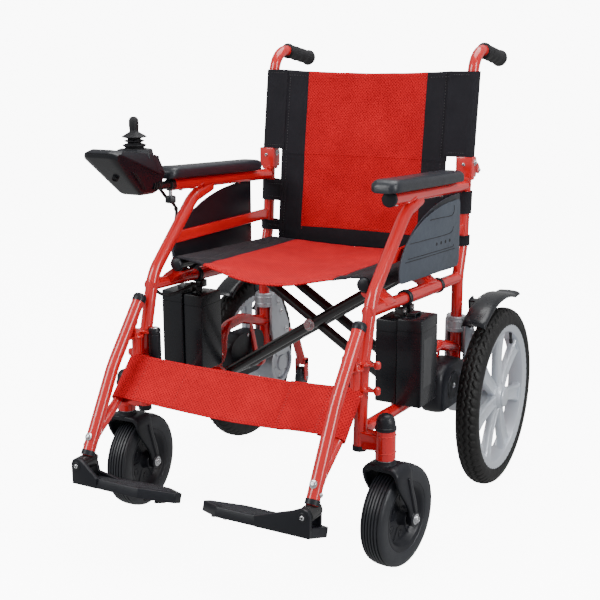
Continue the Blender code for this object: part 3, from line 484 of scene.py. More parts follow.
def side_frame(s):
    side, body = SIDES[s], f"frame_{SIDES[s]}"
    rail = arm_line(s, -0.100, 0.290)
    post = [(s * X, 0.291, 0.545), (s * X, 0.301, 0.702)]
    bm = new()
    sweep(bm, rail, R)
    sweep(bm, diagonal_path(s)[2:], R)
    slope = (Vector(rail[1]) - Vector(rail[0])).normalized()
    start = diagonal_path(s)[6]
    sweep(bm, [start, start + Vector((0, 0.060, 0.0165))], R - 0.0002)
    weld(bm, (s * X, -0.0775, 0.612), (s * X, 0.020, 0.703), R, rail, R + 0.0002, bead=0.0019)
    weld(bm, (s * X, 0.2, pitched(ARM_Z, 0.2)), rail[1], R, post, R + 0.0002)
    put(f"arm_tube_{side}", bm, RED, body, f"front_tube_{side}")
    bm = new()
    if s == 1:
        front = Vector(rail[0])
        lathe(bm, [(0.0136, 0.006), (0.0150, 0.004), (0.0152, -0.0015), (0.0144, -0.0042), (0.011, -0.0056),
                   (0, -0.006)], front, slope, 0)
    end = Vector((s * SEAT_X, 0.266, pitched(SEAT_Z - 0.001, 0.266)))
    lathe(bm, [(SEAT_R + 0.001, -0.006), (SEAT_R + 0.0015, 0.0), (0.008, 0.003), (0, 0.0035)], end,
          (0, 1, -PITCH), 0)
    for y, z in ((-0.219, 0.238), (POST_Y, 0.243)):
        lathe(bm, [(R + 0.0006, 0.008), (R + 0.0010, 0.004), (R + 0.0010, -0.002), (0.009, -0.004),
                   (0, -0.0045)],
              (s * X, y, z), (0, 0, 1), 0)
    put(f"frame_plugs_{side}", bm, PLASTIC, body)

    # The hooks that carry the leg hanger and the latch inside them.
    bm = new()
    for z in (0.3515, 0.4005):
        lobe = [(s * (X - 0.022), -0.2255), (s * (X - 0.004), -0.2290), (s * (X + 0.012), -0.2300),
                (s * (X + 0.020), -0.2240), (s * (X + 0.033), -0.2205), (s * (X + 0.033), -0.2110),
                (s * (X + 0.020), -0.2085), (s * (X + 0.012), -0.2010), (s * (X - 0.022), -0.2010)]
        slab(bm, fillet(lobe, 0.004, 4), 2, z, z + 0.0044, 0, 0.0013, 3)
        knob = [(0, -0.0045), (0.0040, -0.0045), (0.0058, -0.0030), (0.0066, 0.0), (0.0066, 0.0050),
                (0.0056, 0.0085), (0.0036, 0.0100), (0, 0.0103)]
        lathe(bm, knob, (s * (X + 0.0330), -0.2160, z), (0, 0, 1), 0, 28)
    put(f"hanger_hooks_{side}", bm, [RED, STEEL], body)
    bm = new()
    lx, ly = s * (X - 0.027), -0.214
    lathe(bm, [(0, 0.340), (0.0118, 0.340), (0.0125, 0.3415), (0.0125, 0.349), (0.0118, 0.350),
               (0.0118, 0.352),
               (0.0125, 0.353), (0.0125, 0.398), (0.0118, 0.399), (0.0118, 0.401), (0.0125, 0.402),
               (0.0125, 0.409), (0.0110, 0.4115), (0, 0.412)], (lx, ly, 0), (0, 0, 1), 0)
    lathe(bm, [(0, 0.4115), (0.0085, 0.4115), (0.0085, 0.4125), (0.0070, 0.4135), (0, 0.4137)], (lx, ly, 0),
          (0, 0, 1), 1)
    put(f"hanger_latch_{side}", bm, [PLASTIC, STEEL], body)

    # Seat rail, its saddles, sleeve and collars.
    bm = new()
    seat = [(s * X, y, pitched(RAIL_Z, y)) for y in (-0.192, POST_Y - 0.004)]
    sweep(bm, seat, 0.0122)
    sweep(bm, [(s * X, y, pitched(RAIL_Z, y)) for y in (-0.014, 0.142)], 0.0143)
    for y in (-0.112, 0.111):
        z = pitched(RAIL_Z, y)
        cradle = [(s * (X + 0.010), z - 0.006), (s * (X + 0.0125), z + 0.006), (s * (X + 0.004), z + 0.016),
                  (s * (SEAT_X + 0.016), z + 0.030), (s * (SEAT_X + 0.0125), z + 0.031),
                  (s * (SEAT_X + 0.009), z + 0.0270), (s * SEAT_X, z + 0.0245),
                  (s * (SEAT_X - 0.007), z + 0.0262),
                  (s * (SEAT_X - 0.0095), z + 0.0225), (s * (SEAT_X - 0.004), z + 0.0170),
                  (s * (SEAT_X + 0.010), z + 0.0110), (s * (X - 0.010), z - 0.004)]
        slab(bm, fillet(cradle, 0.003, 3), 1, y - 0.021, y + 0.021, 0, 0.0012, 2)
    weld(bm, (s * X, 0.18, pitched(RAIL_Z, 0.18)), seat[1], 0.0122,
         [(s * X, POST_Y, 0.24), (s * X, POST_Y, 0.6)], R)
    put(f"seat_rail_{side}", bm, RED, body, f"side_rail_{side}")
    bm = new()
    for y in (-0.026, 0.142):
        lathe(bm, [(0.0122, 0), (0.0155, 0.0002), (0.0165, 0.0014), (0.0165, 0.0046), (0.0158, 0.0052),
                   (0.0158, 0.0068), (0.0165, 0.0074), (0.0165, 0.0106), (0.0155, 0.0118), (0.0122, 0.012)],
              (s * X, y, pitched(RAIL_Z, y)), (0, 1, -PITCH), 0)
    put(f"rail_collars_{side}", bm, PLASTIC, body)

    # Lower rail with its arch, and the lugs of the cross brace.
    bm = new()
    arch = rounded([(s * X, -0.222, pitched(LOWER_Z, -0.222)), (s * X, 0.074, pitched(LOWER_Z, 0.074)),
                    (s * X, 0.078, 0.340), (s * X, 0.160, 0.346), (s * X, POST_Y - 0.002, 0.316)], 0.035)
    sweep(bm, arch, 0.0122)
    weld(bm, (s * X, -0.12, pitched(LOWER_Z, -0.12)), arch[0], 0.0122,
         [(s * X, -0.219, 0.236), (s * X, -0.209, 0.392)], R)
    weld(bm, arch[-2], arch[-1], 0.0122, [(s * X, POST_Y, 0.24), (s * X, POST_Y, 0.6)], R)
    pivots = []
    for y0, y1, top in ((0.018, 0.034, 0.262), (0.184, 0.198, 0.338)):
        z = pitched(BRACE_Z, (y0 + y1) / 2)
        pivots.append((y0, z))
        arc = [(s * a, b) for a, b in ring_of((BRACE_X, z), 0.0150, 150, 318, 12)]
        lug = arc + [(s * (X - 0.008), top - 0.012), (s * (X - 0.006), top + 0.002),
                     (s * (BRACE_X + 0.006), z + 0.020)]
        slab(bm, lug, 1, y0, y1, 0, 0.0014, 2)
    for y0, z in pivots:
        bolt(bm, (s * BRACE_X, y0, z), (0, -1, 0), 0.0058, 1)
        bolt(bm, (s * BRACE_X, y0 + 0.0155, z), (0, 1, 0), 0.0052, 1, washer=False)
    put(f"lower_rail_arch_{side}", bm, [RED, STEEL], body, f"lower_rail_{side}")

    # Rear post, the channel of the back's hinge and the bar that carries the side panel.
    bm = new()
    sweep(bm, post_path(s), R)
    y, z = HINGE.y, HINGE.z
    for a, b in ((-0.0185, -0.0148), (0.0148, 0.0185)):
        cheek = fillet([(y - 0.0165, 0.690), (y + 0.0130, 0.690), (y + 0.0150, z - 0.002),
                        (y + 0.010, z + 0.0125),
                        (y - 0.0165, z + 0.0125)], 0.005, 4)
        slab(bm, cheek, 0, s * X + a, s * X + b, 0, 0.0009, 2)
    block(bm, (s * X - 0.0183, y - 0.0172, 0.690), (s * X + 0.0183, y - 0.0140, z + 0.0122), 0, 0.0012, 2)
    lathe(bm, [(R, 0.684), (0.0170, 0.6845), (0.0182, 0.6860), (0.0182, 0.6915), (R, 0.693)],
          (s * X, y - 0.001, 0),
          (0, 0, 1), 0)
    tab = fillet([(y + 0.008, z - 0.024), (y + 0.024, z - 0.026), (y + 0.030, z - 0.018),
                  (y + 0.024, z - 0.009),
                  (y + 0.010, z + 0.004)], 0.005, 4)
    slab(bm, tab, 0, s * (X + 0.0190), s * (X + 0.0212), 0, 0.0006, 2)
    slant = [(-0.096, 0.590), (-0.121, 0.566), (0.292, 0.566), (0.294, 0.590)]
    slab(bm, slant, 0, s * (X - 0.0055), s * (X + 0.0055), 0, 0.0025, 4)
    bolt(bm, (s * X, y - 0.0172, z - 0.004), (0, -1, 0), 0.0042, 1, washer=False)
    bolt(bm, (s * (X + 0.0185), y, z), (s, 0, 0), 0.0048, 1)
    bolt(bm, (s * (X - 0.0185), y, z), (-s, 0, 0), 0.0044, 1)
    bolt(bm, (s * (X + 0.0212), y + 0.022, z - 0.018), (s, 0, 0), 0.0034, 1)
    put(f"rear_post_{side}", bm, [RED, STEEL], body, f"back_post_{side}")

    # Castor head.
    bm = new()
    x, y = s * STEM.x, STEM.y
    arm = [(s * (X - 0.002), 0.236), (s * (X + 0.012), 0.240), (x, 0.244), (x, 0.270),
           (s * (X + 0.012), 0.274),
           (s * (X - 0.002), 0.276)]
    slab(bm, arm, 1, y - 0.0135, y + 0.0135, 0, 0.003, 4)
    lathe(bm, [(0.0085, 0.226), (0.0180, 0.2262), (0.0190, 0.2275), (0.0190, 0.2825), (0.0180, 0.284),
               (0.010, 0.284)],
          (x, y, 0), (0, 0, 1), 0)
    for z in (0.2405, 0.2735):
        lathe(bm, [(0.0185, z - 0.0016), (0.0202, z), (0.0185, z + 0.0016)], (x, y, 0), (0, 0, 1), 0,
              closed=True)
    lathe(bm, [(0.0192, 0.2825), (0.0202, 0.2835), (0.0202, 0.2890), (0.0186, 0.2900), (0.0180, 0.2980),
               (0.0165, 0.3045), (0.0128, 0.3100), (0.0070, 0.3130), (0, 0.3138)], (x, y, 0), (0, 0, 1), 1)
    lathe(bm, [(0.0120, 0.2235), (0.0172, 0.2235), (0.0172, 0.2262), (0.0120, 0.2262)], (x, y, 0), (0, 0, 1),
          2,
          closed=True)
    put(f"castor_head_{side}", bm, [RED, PLASTIC, STEEL], body, f"caster_head_{side}")

    # Anti-tip tube and its fork.
    bm = new()
    ay, az = 0.455, 0.1225
    bar = rounded([(s * X, POST_Y + 0.010, 0.262), (s * X, 0.410, 0.262), (s * X, ay, az + 0.040)], 0.06)
    sweep(bm, bar, 0.0110)
    for a in (-0.0145, 0.0115):
        cheek = ring_of((ay, az), 0.0095, 180, 360, 12) + [(ay + 0.011, az + 0.050), (ay - 0.011, az + 0.050)]
        slab(bm, cheek, 0, s * X + a, s * X + a + 0.003, 0, 0.0007, 2)
    block(bm, (s * X - 0.0145, ay - 0.0105, az + 0.036), (s * X + 0.0145, ay + 0.0105, az + 0.052), 0, 0.002)
    for d in (-1, 1):
        bolt(bm, (s * X + d * 0.0145, ay, az), (d, 0, 0), 0.0036, 1, washer=False)
    put(f"anti_tip_tube_{side}", bm, [RED, STEEL], body, f"anti_tipper_{side}")
    bm = new()
    wheel = [(0.0038, -0.009), (0.0095, -0.009), (0.0105, -0.0085), (0.0115, -0.0060), (0.0170, -0.0060),
             (0.0180, -0.0078), (0.0225, -0.0082), (0.0262, -0.0068), (0.0275, -0.0042)]
    wheel += [(r, -a) for r, a in reversed(wheel)]
    faces = lathe(bm, [(r, s * X + a) for r, a in wheel], (0, ay, az), closed=True)
    for face in faces:
        middle = face.calc_center_median()
        face.material_index = int(math.hypot(middle.y - ay, middle.z - az) < 0.0165)
    put(f"anti_tip_tread_{side}", bm, [SOLID_TYRE, GREY], f"anti_tip_wheel_{side}", f"anti_tip_wheel_{side}")


def side_panel(s):
    side, body = SIDES[s], f"frame_{SIDES[s]}"
    arc = [(0.175 + 0.262 * math.cos(math.radians(96 + 84 * i / 24)),
            0.545 + 0.108 * math.sin(math.radians(96 + 84 * i / 24))) for i in range(25)]
    outline = [(-0.086, 0.536), (-0.083, 0.5275), (-0.072, 0.5245),
               (0.190, 0.510)] + ring_of((0.214, 0.524), 0.0140, 270, 360, 6) \
        + ring_of((0.214, 0.640), 0.0140, 0, 88, 6) + arc
    x = s * (X + R + 0.001)
    bm = new()
    slab(bm, outline, 0, x, x + s * 0.0034, 0, 0.0012, 3)
    # The black inner guard shows past the panel's edge.
    inner = [(0.200 + 0.282 * math.cos(math.radians(92 + 88 * i / 24)),
              0.540 + 0.124 * math.sin(math.radians(92 + 88 * i / 24))) for i in range(25)]
    inner = [(-0.080, 0.5270), (0.190, 0.5080), (0.228, 0.5080), (0.232, 0.512), (0.232, 0.6600),
             (0.228, 0.664)] + inner
    slab(bm, inner, 0, x - s * 0.0019, x - s * 0.0001, 3, 0.0006, 2)
    lip = x + s * 0.0034

    # Each groove is a thin rod in the near-black finish: painted shade along the groove.
    def groove(points):
        sweep(bm, curved([(lip, a, b) for a, b in points], 0.004), 0.00075, 1, 8, 0)

    groove([(0.060, 0.6300), (0.120, 0.6270), (0.176, 0.6235), (0.1895, 0.6290)])
    groove([(0.1895, 0.6290), (0.1920, 0.6360), (0.1910, 0.6440)])
    groove([(-0.040, 0.5975), (0.050, 0.5925), (0.150, 0.5875), (0.1820, 0.5895), (0.1900, 0.5990)])
    groove([(-0.060, 0.5640), (0.050, 0.5580), (0.150, 0.5530), (0.2000, 0.5505)])
    groove([(0.1930, 0.5610), (0.1880, 0.5560), (0.1700, 0.5570), (0.020, 0.5650), (-0.048, 0.5690)])
    # Four small dimples in the near-black finish: painted shade in each dimple.
    for y in (0.098, 0.122, 0.146, 0.170):
        z = 0.5745 - (y - 0.122) * PITCH
        lathe(bm, [(0.0036, 0), (0.0030, 0.0006), (0.0022, 0.0004), (0, -0.0006)], (lip, y, z), (s, 0, 0), 1,
              16)
    for y in (-0.020, 0.205):
        bolt(bm, (x - s * 0.0005, y, 0.578), (-s, 0, 0), 0.0042, 2, washer=False)
    put(f"side_guard_{side}", bm, [PANEL, SHADE_BLACK, STEEL, PLASTIC], body, f"side_panel_{side}")

    # The armrest pad: moulded foam, full at the front and chamfered along the top.
    bm = new()
    rings = []
    count = 40
    for i in range(count + 1):
        t = i / count
        y = -0.134 + 0.358 * t
        nose = min(1.0, math.sqrt(max(0.0, 1 - (1 - min(1, t / 0.075)) ** 2)) * 0.72 + 0.28)
        tail = min(1.0, math.sqrt(max(0.0, 1 - (1 - min(1, (1 - t) / 0.04)) ** 2)) * 0.5 + 0.5)
        swell = 1.0 + 0.045 * math.exp(-((t - 0.10) / 0.05) ** 2)
        half = 0.0285 * min(nose, tail) ** 0.35 * min(1.0, swell)
        top = 0.0250 * min(nose, tail) ** 0.5 * (1.0 + 0.03 * math.exp(-((t - 0.09) / 0.05) ** 2))
        base = pitched(ARM_Z, y) + R + 0.0006
        ring = []
        for k in range(36):
            a = 2 * math.pi * k / 36
            c, q = math.cos(a), math.sin(a)
            px = half * math.copysign(abs(c) ** 0.42, c)
            pz = top * (0.5 + 0.5 * math.copysign(abs(q) ** (0.62 if q > 0 else 0.30), q))
            px *= 1.0 - 0.10 * max(0.0, q)
            ring.append(bm.verts.new((s * X + px, y, base + pz)))
        rings.append(ring)
    skin(bm, rings)
    pad = put(f"arm_cushion_{side}", bm, PAD, body, f"arm_pad_{side}", sharp=60)
    bm = new()
    for y in (-0.070, 0.160):
        z = pitched(ARM_Z, y) - R
        bolt(bm, (s * X, y, z + 0.0006), (0, 0, -1), 0.0042, 0, washer=False)
    put(f"arm_screws_{side}", bm, STEEL, body)


def back_and_grip(s):
    side, body = SIDES[s], f"back_{SIDES[s]}"
    start, end = Vector((s * X, 0.386, 0.9575)), Vector((s * X, 0.494, 0.9400))
    along = (end - start).normalized()
    bend = start - along * ((start.y - 0.333) / along.y)
    y, z = HINGE.y, HINGE.z
    bm = new()
    sweep(bm, rounded([(s * X, y + 0.001, z + 0.006), (s * X, y + 0.003, z + 0.022), bend, end], 0.055, 18),
          0.0123)
    lathe(bm, [(0, -0.0138), (0.0112, -0.0138), (0.0121, -0.0128), (0.0121, 0.0128), (0.0112, 0.0138),
               (0, 0.0138)],
          (s * X, y, z), (1, 0, 0))
    put(f"upper_cane_{side}", bm, RED, body, f"back_cane_{side}")
    bm = new()
    length = (end - start).length + 0.006

    def finger(a, t):
        under = max(0.0, -math.cos(a))
        bumps = 0.5 + 0.5 * math.cos(2 * math.pi * (t / length) * 4.0)
        return 1.0 - 0.085 * bumps * (0.35 + 0.65 * under) * (0.012 < t < length - 0.012)

    profile = [(0.0128, 0.0), (0.0166, 0.0003), (0.0180, 0.0022), (0.0181, 0.0060), (0.0172, 0.0080)]
    profile += [(0.0170, 0.009 + (length - 0.021) * i / 40) for i in range(41)]
    profile += [(0.0184, length - 0.0090), (0.0188, length - 0.0058), (0.0172, length - 0.0020),
                (0.0120, length - 0.0002), (0, length)]
    lathe(bm, profile, start, along, 0, 48, facets=finger)
    for k in range(22):
        a = 2 * math.pi * k / 22
        side_way = Vector((math.cos(a), 0, math.sin(a)))
        if side_way.z > -0.35:
            p = start + along * 0.020 + side_way * 0.0161
            q = start + along * (length - 0.020) + side_way * 0.0161
            sweep(bm, [p, q], 0.0009, 0, 8, 0.0004)
    put(f"hand_grip_{side}", bm, RUBBER, body, f"push_grip_{side}", sharp=50)


# Castors.


def loft(bm, rings, mat=0, caps=True, closed=False):
    return skin(bm, [[bm.verts.new(p) for p in ring] for ring in rings], mat, caps, closed)


def oval(centre, across, along, a, b, power=1.0, count=24):
    """A ring about the centre, from round at power 1 to square-cornered near 0."""
    ring = []
    for k in range(count):
        c, q = math.cos(2 * math.pi * k / count), math.sin(2 * math.pi * k / count)
        ring.append(Vector(centre) + Vector(across) * a * math.copysign(abs(c) ** power, c)
                    + Vector(along) * b * math.copysign(abs(q) ** power, q))
    return ring


def smooth(t):
    t = min(1.0, max(0.0, t))
    return t * t * (3 - 2 * t)


def castor(s):
    side = SIDES[s]
    x, y = s * STEM.x, STEM.y
    ay, az = y + 0.045, 0.100
    pivot = Matrix.Translation((x, y, 0.25))
    move = pivot @ Matrix.Rotation(SWIVEL[s], 4, "Z") @ pivot.inverted()
    bm = new()
    legs = [(-0.0355, 0, z) for z in (0.094, 0.105, 0.120, 0.135, 0.150, 0.165, 0.180)]
    bend = rounded([(-0.0355, 0, 0.180), (-0.0355, 0, 0.2105), (0.0355, 0, 0.2105), (0.0355, 0, 0.180)],
                   0.017, 9)
    path = [Vector(p) for p in legs] + bend[1:-1] + [Vector((-p[0], 0, p[2])) for p in reversed(legs)]
    rings = []
    for i, p in enumerate(path):
        run = (path[min(i + 1, len(path) - 1)] - path[max(i - 1, 0)]).normalized()
        out = run.cross(Vector((0, 1, 0)))
        up = smooth((p.z - 0.104) / 0.098)
        middle = y + 0.045 * (1 - up) + 0.006 * up
        half = 0.0130 + 0.0135 * up
        thick = 0.0044 + 0.0022 * smooth((p.z - 0.19) / 0.02)
        rings.append(oval((x + p.x, middle, p.z), out, (0, 1, 0), thick, half, 0.5, 28))
    loft(bm, rings)
    lathe(bm, [(0, 0.2105), (0.0215, 0.2105), (0.0208, 0.2180), (0.0190, 0.2195), (0.0182, 0.2250),
               (0, 0.2252)],
          (x, y, 0), (0, 0, 1))
    for d in (-1, 1):
        lathe(bm, [(0, 0.030), (0.0138, 0.030), (0.0150, 0.032), (0.0150, 0.040), (0.0138, 0.0415),
                   (0, 0.0415)],
              (x, ay, az), (d, 0, 0))
        sweep(bm, [(x + d * 0.0402, ay - 0.001, az + 0.014), (x + d * 0.0402, y + 0.018, 0.190)], 0.0028, 0,
              12)
        bolt(bm, (x + d * 0.0412, ay, az), (d, 0, 0), 0.0070, 1)
    put(f"castor_fork_{side}", bm, [PLASTIC, STEEL], f"caster_fork_{side}", f"caster_fork_{side}", move=move)

    bm = new()
    ribs = [(0.0960, -0.0215), (0.0975, -0.0195), (0.0978, -0.0175), (0.0958, -0.0165), (0.0960, -0.0150),
            (0.0990, -0.0142), (0.0993, -0.0110), (0.0968, -0.0100), (0.0970, -0.0088), (0.0999, -0.0078),
            (0.1000, -0.0048), (0.0975, -0.0038), (0.0975, -0.0026), (0.1000, -0.0016)]
    outer = [(0.0680, -0.0208), (0.0700, -0.0228), (0.0760, -0.0240), (0.0850, -0.0240), (0.0915, -0.0236),
             *ribs, *[(r, -a) for r, a in reversed(ribs)], (0.0915, 0.0236), (0.0850, 0.0240),
             (0.0760, 0.0240),
             (0.0700, 0.0228), (0.0680, 0.0208), (0.0600, 0.0120), (0.0600, -0.0120)]
    lathe(bm, [(r, x + a) for r, a in outer], (0, ay, az), mat=0, sides=128, closed=True)
    rim = [(0.0060, -0.0285), (0.0150, -0.0285), (0.0165, -0.0272), (0.0175, -0.0160), (0.0200, -0.0110),
           (0.0260, -0.0090), (0.0500, -0.0090), (0.0545, -0.0120), (0.0580, -0.0190), (0.0600, -0.0208),
           (0.0660, -0.0222), (0.0690, -0.0218), (0.0690, -0.0195), (0.0610, -0.0130)]
    lathe(bm, [(r, x + a) for r, a in rim + [(r, -a) for r, a in reversed(rim)]], (0, ay, az), mat=1,
          sides=96,
          closed=True)
    for d in (-1, 1):
        for i in range(6):
            a = 2 * math.pi * i / 6
            spot = (x, ay + 0.0375 * math.sin(a), az + 0.0375 * math.cos(a))
            lathe(bm, [(0.0078, 0.0086), (0.0078, 0.0094), (0.0070, 0.0100), (0.0060, 0.0094), (0, 0.0091)],
                  spot,
                  (d, 0, 0), 1, 20)
            out = Vector((0, math.sin(a + 0.52), math.cos(a + 0.52)))
            hub = Vector((x + d * 0.0088, ay, az))
            sweep(bm, [hub + out * 0.019, hub + out * 0.054], 0.0020, 1, 10)
    put(f"castor_tyre_{side}", bm, [SOLID_TYRE, PLASTIC], f"caster_wheel_{side}", f"caster_wheel_{side}",
        move=move)


# Drive wheels and their motors.


def drive(s):
    side, body = SIDES[s], f"frame_{SIDES[s]}"
    y, z = HUB.y, HUB.z
    bm = new()
    case = [(0, 0.2240), (0.0180, 0.2240), (0.0195, 0.2250), (0.0205, 0.2290), (0.0350, 0.2300),
            (0.0385, 0.2320),
            (0.0405, 0.2360), (0.0410, 0.2600), (0.0395, 0.2610), (0.0395, 0.2630), (0.0410, 0.2640),
            (0.0410, 0.2890), (0.0395, 0.2905), (0.0310, 0.2912), (0.0300, 0.2960), (0.0085, 0.2965),
            (0.0085, 0.3400), (0, 0.3403)]
    lathe(bm, [(r, s * a) for r, a in case], (0, y, z), sides=64)
    for i in range(6):
        a = 2 * math.pi * (i + 0.3) / 6
        bolt(bm, (s * 0.2302, y + 0.0290 * math.sin(a), z + 0.0290 * math.cos(a)), (-s, 0, 0), 0.0030, 1,
             washer=False)
    for i in range(24):
        a = 2 * math.pi * i / 24
        out = Vector((0, math.sin(a), math.cos(a)))
        base = Vector((s * 0.2375, y, z)) + out * 0.0403
        sweep(bm, [base, base + Vector((s * 0.021, 0, 0))], 0.0014, 0, 8, 0.0006)
    put(f"gear_motor_{side}", bm, [CAST, STEEL], body, f"drive_motor_{side}")

    bm = new()
    ring = [(0.0414, 0.226), (0.0480, 0.226), (0.0495, 0.2275), (0.0495, 0.2705), (0.0480, 0.272),
            (0.0414, 0.272)]
    lathe(bm, [(r, s * a) for r, a in ring], (0, y, z), sides=64, closed=True)
    collar = [(R + 0.0003, 0.353), (0.0200, 0.353), (0.0215, 0.3545), (0.0215, 0.3855), (0.0200, 0.387),
              (R + 0.0003, 0.387)]
    lathe(bm, collar, (s * X, POST_Y, 0), (0, 0, 1), closed=True)
    for zz in (0.362, 0.378):
        lathe(bm, [(0.0212, zz - 0.0018), (0.0226, zz), (0.0212, zz + 0.0018)], (s * X, POST_Y, 0), (0, 0, 1),
              closed=True)
    for inner in (0.221, 0.2605):
        block(bm, (s * inner, POST_Y + 0.010, 0.3535), (s * (inner + 0.0135), POST_Y + 0.030, 0.3865), 0,
              0.003)
    for inner in (0.2225, 0.2650):
        web = fillet([(0.262, 0.386), (0.298, 0.386), (0.345, 0.300), (0.350, 0.222), (0.284, 0.222),
                      (0.262, 0.300)], 0.014, 5)
        slab(bm, web, 0, s * inner, s * (inner + 0.0075), 0, 0.0022, 3)
    slab(bm, fillet([(0.292, 0.372), (0.300, 0.380), (0.340, 0.296), (0.332, 0.280)], 0.003, 3), 0, s * 0.224,
         s * 0.270,
         0, 0.0015, 2)
    for zz in (0.3605, 0.3795):
        bolt(bm, (s * 0.2740, POST_Y + 0.020, zz), (s, 0, 0), 0.0046, 1)
        bolt(bm, (s * 0.2210, POST_Y + 0.020, zz), (-s, 0, 0), 0.0046, 1)
    for a, b in ((0.306, 0.335), (0.330, 0.285)):
        bolt(bm, (s * 0.2725, a, b), (s, 0, 0), 0.0050, 1)
        bolt(bm, (s * 0.2225, a, b), (-s, 0, 0), 0.0050, 1)
    put(f"motor_clamp_{side}", bm, [CAST, STEEL], body, f"drive_bracket_{side}")

    bm = new()
    cover = fillet([(0.096, 0.206), (0.246, 0.206), (0.246, 0.300), (0.205, 0.312), (0.140, 0.312),
                    (0.098, 0.298)],
                   0.034, 9)
    low, high = s * 0.2365, s * 0.281
    middle = (0.171, 0.262)
    rings = []
    for t in np.linspace(0, 1, 9):
        shrink = 1.0 - 0.16 * (t ** 3) - 0.02 * (1 - t) ** 6
        rings.append([Vector((low + (high - low) * math.sin(t * math.pi / 2),
                              middle[0] + (a - middle[0]) * shrink,
                              middle[1] + (b - middle[1]) * shrink)) for a, b in cover])
    loft(bm, rings)
    lathe(bm, [(0, -0.002), (0.030, -0.002), (0.0315, -0.0005), (0.0305, 0.0010), (0.026, 0.0016),
               (0.024, 0.0008),
               (0, 0.0008)], (high, 0.171, 0.258), (s, 0, 0), 0, 64)
    for a, b in ((0.125, 0.232), (0.222, 0.236), (0.171, 0.304)):
        bolt(bm, (low - s * 0.0002, a, b), (-s, 0, 0), 0.0040, 1, washer=False)
    bolt(bm, (high + s * 0.0006, 0.171, 0.258), (s, 0, 0), 0.0044, 1)
    put(f"drive_housing_{side}", bm, [PLASTIC, STEEL], body, f"drive_cover_{side}")

    # Rim.
    wheel = f"drive_wheel_{side}"
    x0 = HUB.x
    bm = new()
    edge = [(0.1470, -0.0165), (0.1500, -0.0185), (0.1560, -0.0196), (0.1600, -0.0212), (0.1630, -0.0214),
            (0.1640, -0.0200), (0.1628, -0.0180), (0.1588, -0.0168), (0.1585, -0.0080)]
    edge = edge + [(r, -a) for r, a in reversed(edge)] + [(0.1462, 0.0140), (0.1462, -0.0140)]
    lathe(bm, [(r, s * (a + x0)) for r, a in edge], (0, y, z), sides=160, closed=True)
    hub = [(0.0090, -0.0280), (0.0260, -0.0280), (0.0280, -0.0265), (0.0310, -0.0100), (0.0345, -0.0070),
           (0.0352, 0.0060), (0.0335, 0.0090), (0.0280, 0.0120), (0.0255, 0.0185), (0.0238, 0.0205),
           (0.0090, 0.0205)]
    lathe(bm, [(r, s * (a + x0)) for r, a in hub], (0, y, z), sides=84, closed=True)
    for i in range(7):
        a = 2 * math.pi * i / 7
        out, side_way = Vector((0, math.sin(a), math.cos(a))), Vector((0, math.cos(a), -math.sin(a)))
        rings = []
        for k in range(21):
            t = k / 20
            r = 0.022 + t * 0.1285
            width = 0.0125 + 0.0062 * t + 0.0075 * smooth((t - 0.86) / 0.14) + 0.003 * smooth((0.12 - t) / 0.12)
            sink = 0.004 * math.sin(math.pi * t)
            ring = []
            for u, h in ((-1.0, 0.0010), (-0.97, 0.0042), (-0.84, 0.0072), (-0.66, 0.0070), (-0.50, 0.0046),
                         (-0.25, 0.0036), (0.0, 0.0034), (0.25, 0.0036), (0.50, 0.0046), (0.66, 0.0070),
                         (0.84, 0.0072), (0.97, 0.0042), (1.0, 0.0010), (0.96, -0.0040), (0.80, -0.0062),
                         (0.0, -0.0066), (-0.80, -0.0062), (-0.96, -0.0040)):
                lift = h + (0.006 - sink if h > 0 else 0.0)
                ring.append(Vector((s * (x0 + lift), y, z)) + out * r + side_way * (u * width))
            rings.append(ring)
        loft(bm, rings)
        # The rim's inner wall swells where each spoke runs into it.
        centre = Vector((s * x0, y, z)) + out * 0.1460
        loft(bm, [oval(centre + out * d, side_way, (1, 0, 0), w, 0.0125, 0.6, 24)
                  for d, w in ((-0.004, 0.021), (0.000, 0.026), (0.006, 0.030))])
    valve = Vector((s * (x0 + 0.010), y + 0.147 * math.sin(0.45), z + 0.147 * math.cos(0.45)))
    down = Vector((s * 0.25, -math.sin(0.45), -math.cos(0.45))).normalized()
    lathe(bm, [(0.0034, 0), (0.0032, 0.014), (0.0042, 0.015), (0.0042, 0.023), (0.0034, 0.025), (0, 0.025)],
          valve,
          down, 1, 20)
    cap = [(0.0225, 0.0200), (0.0225, 0.0235), (0.0205, 0.0255), (0.0120, 0.0268), (0, 0.0270)]
    lathe(bm, [(0.0225, s * (x0 + 0.0195))] + [(r, s * (a + x0)) for r, a in cap], (0, y, z), mat=0, sides=56)
    back = [(0, -0.0290), (0.0140, -0.0290), (0.0150, -0.0275), (0.0150, -0.0240), (0, -0.0240)]
    lathe(bm, [(r, s * (a + x0)) for r, a in back], (0, y, z), mat=2, sides=40)
    put(f"spoked_rim_{side}", bm, [RIM, RUBBER, GREY], wheel, f"wheel_rim_{side}")

    # Tyre: rounded section with wavy centre grooves and lugs on the shoulders.
    half = 0.025
    section = []
    for k in range(27):
        a = math.pi * (k / 26 - 0.5)
        crown = math.copysign(abs(math.sin(a)) ** 0.86, a)
        section.append((0.1690 + 0.0310 * max(0.0, math.cos(a)) ** 0.72, half * crown))

    def tread(a, along):
        u = (abs(along) - x0) / half
        pitch = 2 * math.pi / 64
        wave = math.sin(a * 64) * 0.10
        dip = 0.0
        for groove in (-0.44 + wave, 0.02 + wave, 0.48 + wave):
            dip = max(dip, math.exp(-((u - groove) / 0.055) ** 2))
        phase = (a / pitch + (0.5 if u > 0 else 0.0) - 0.6 * abs(u)) % 1.0
        lug = math.exp(-((phase - 0.5) / 0.13) ** 2)
        if 0.30 < abs(u) < 0.93:
            dip = max(dip, lug * min(1.0, (abs(u) - 0.30) / 0.15, (0.93 - abs(u)) / 0.08))
        return 1.0 - 0.0165 * min(1.0, dip * 1.15)

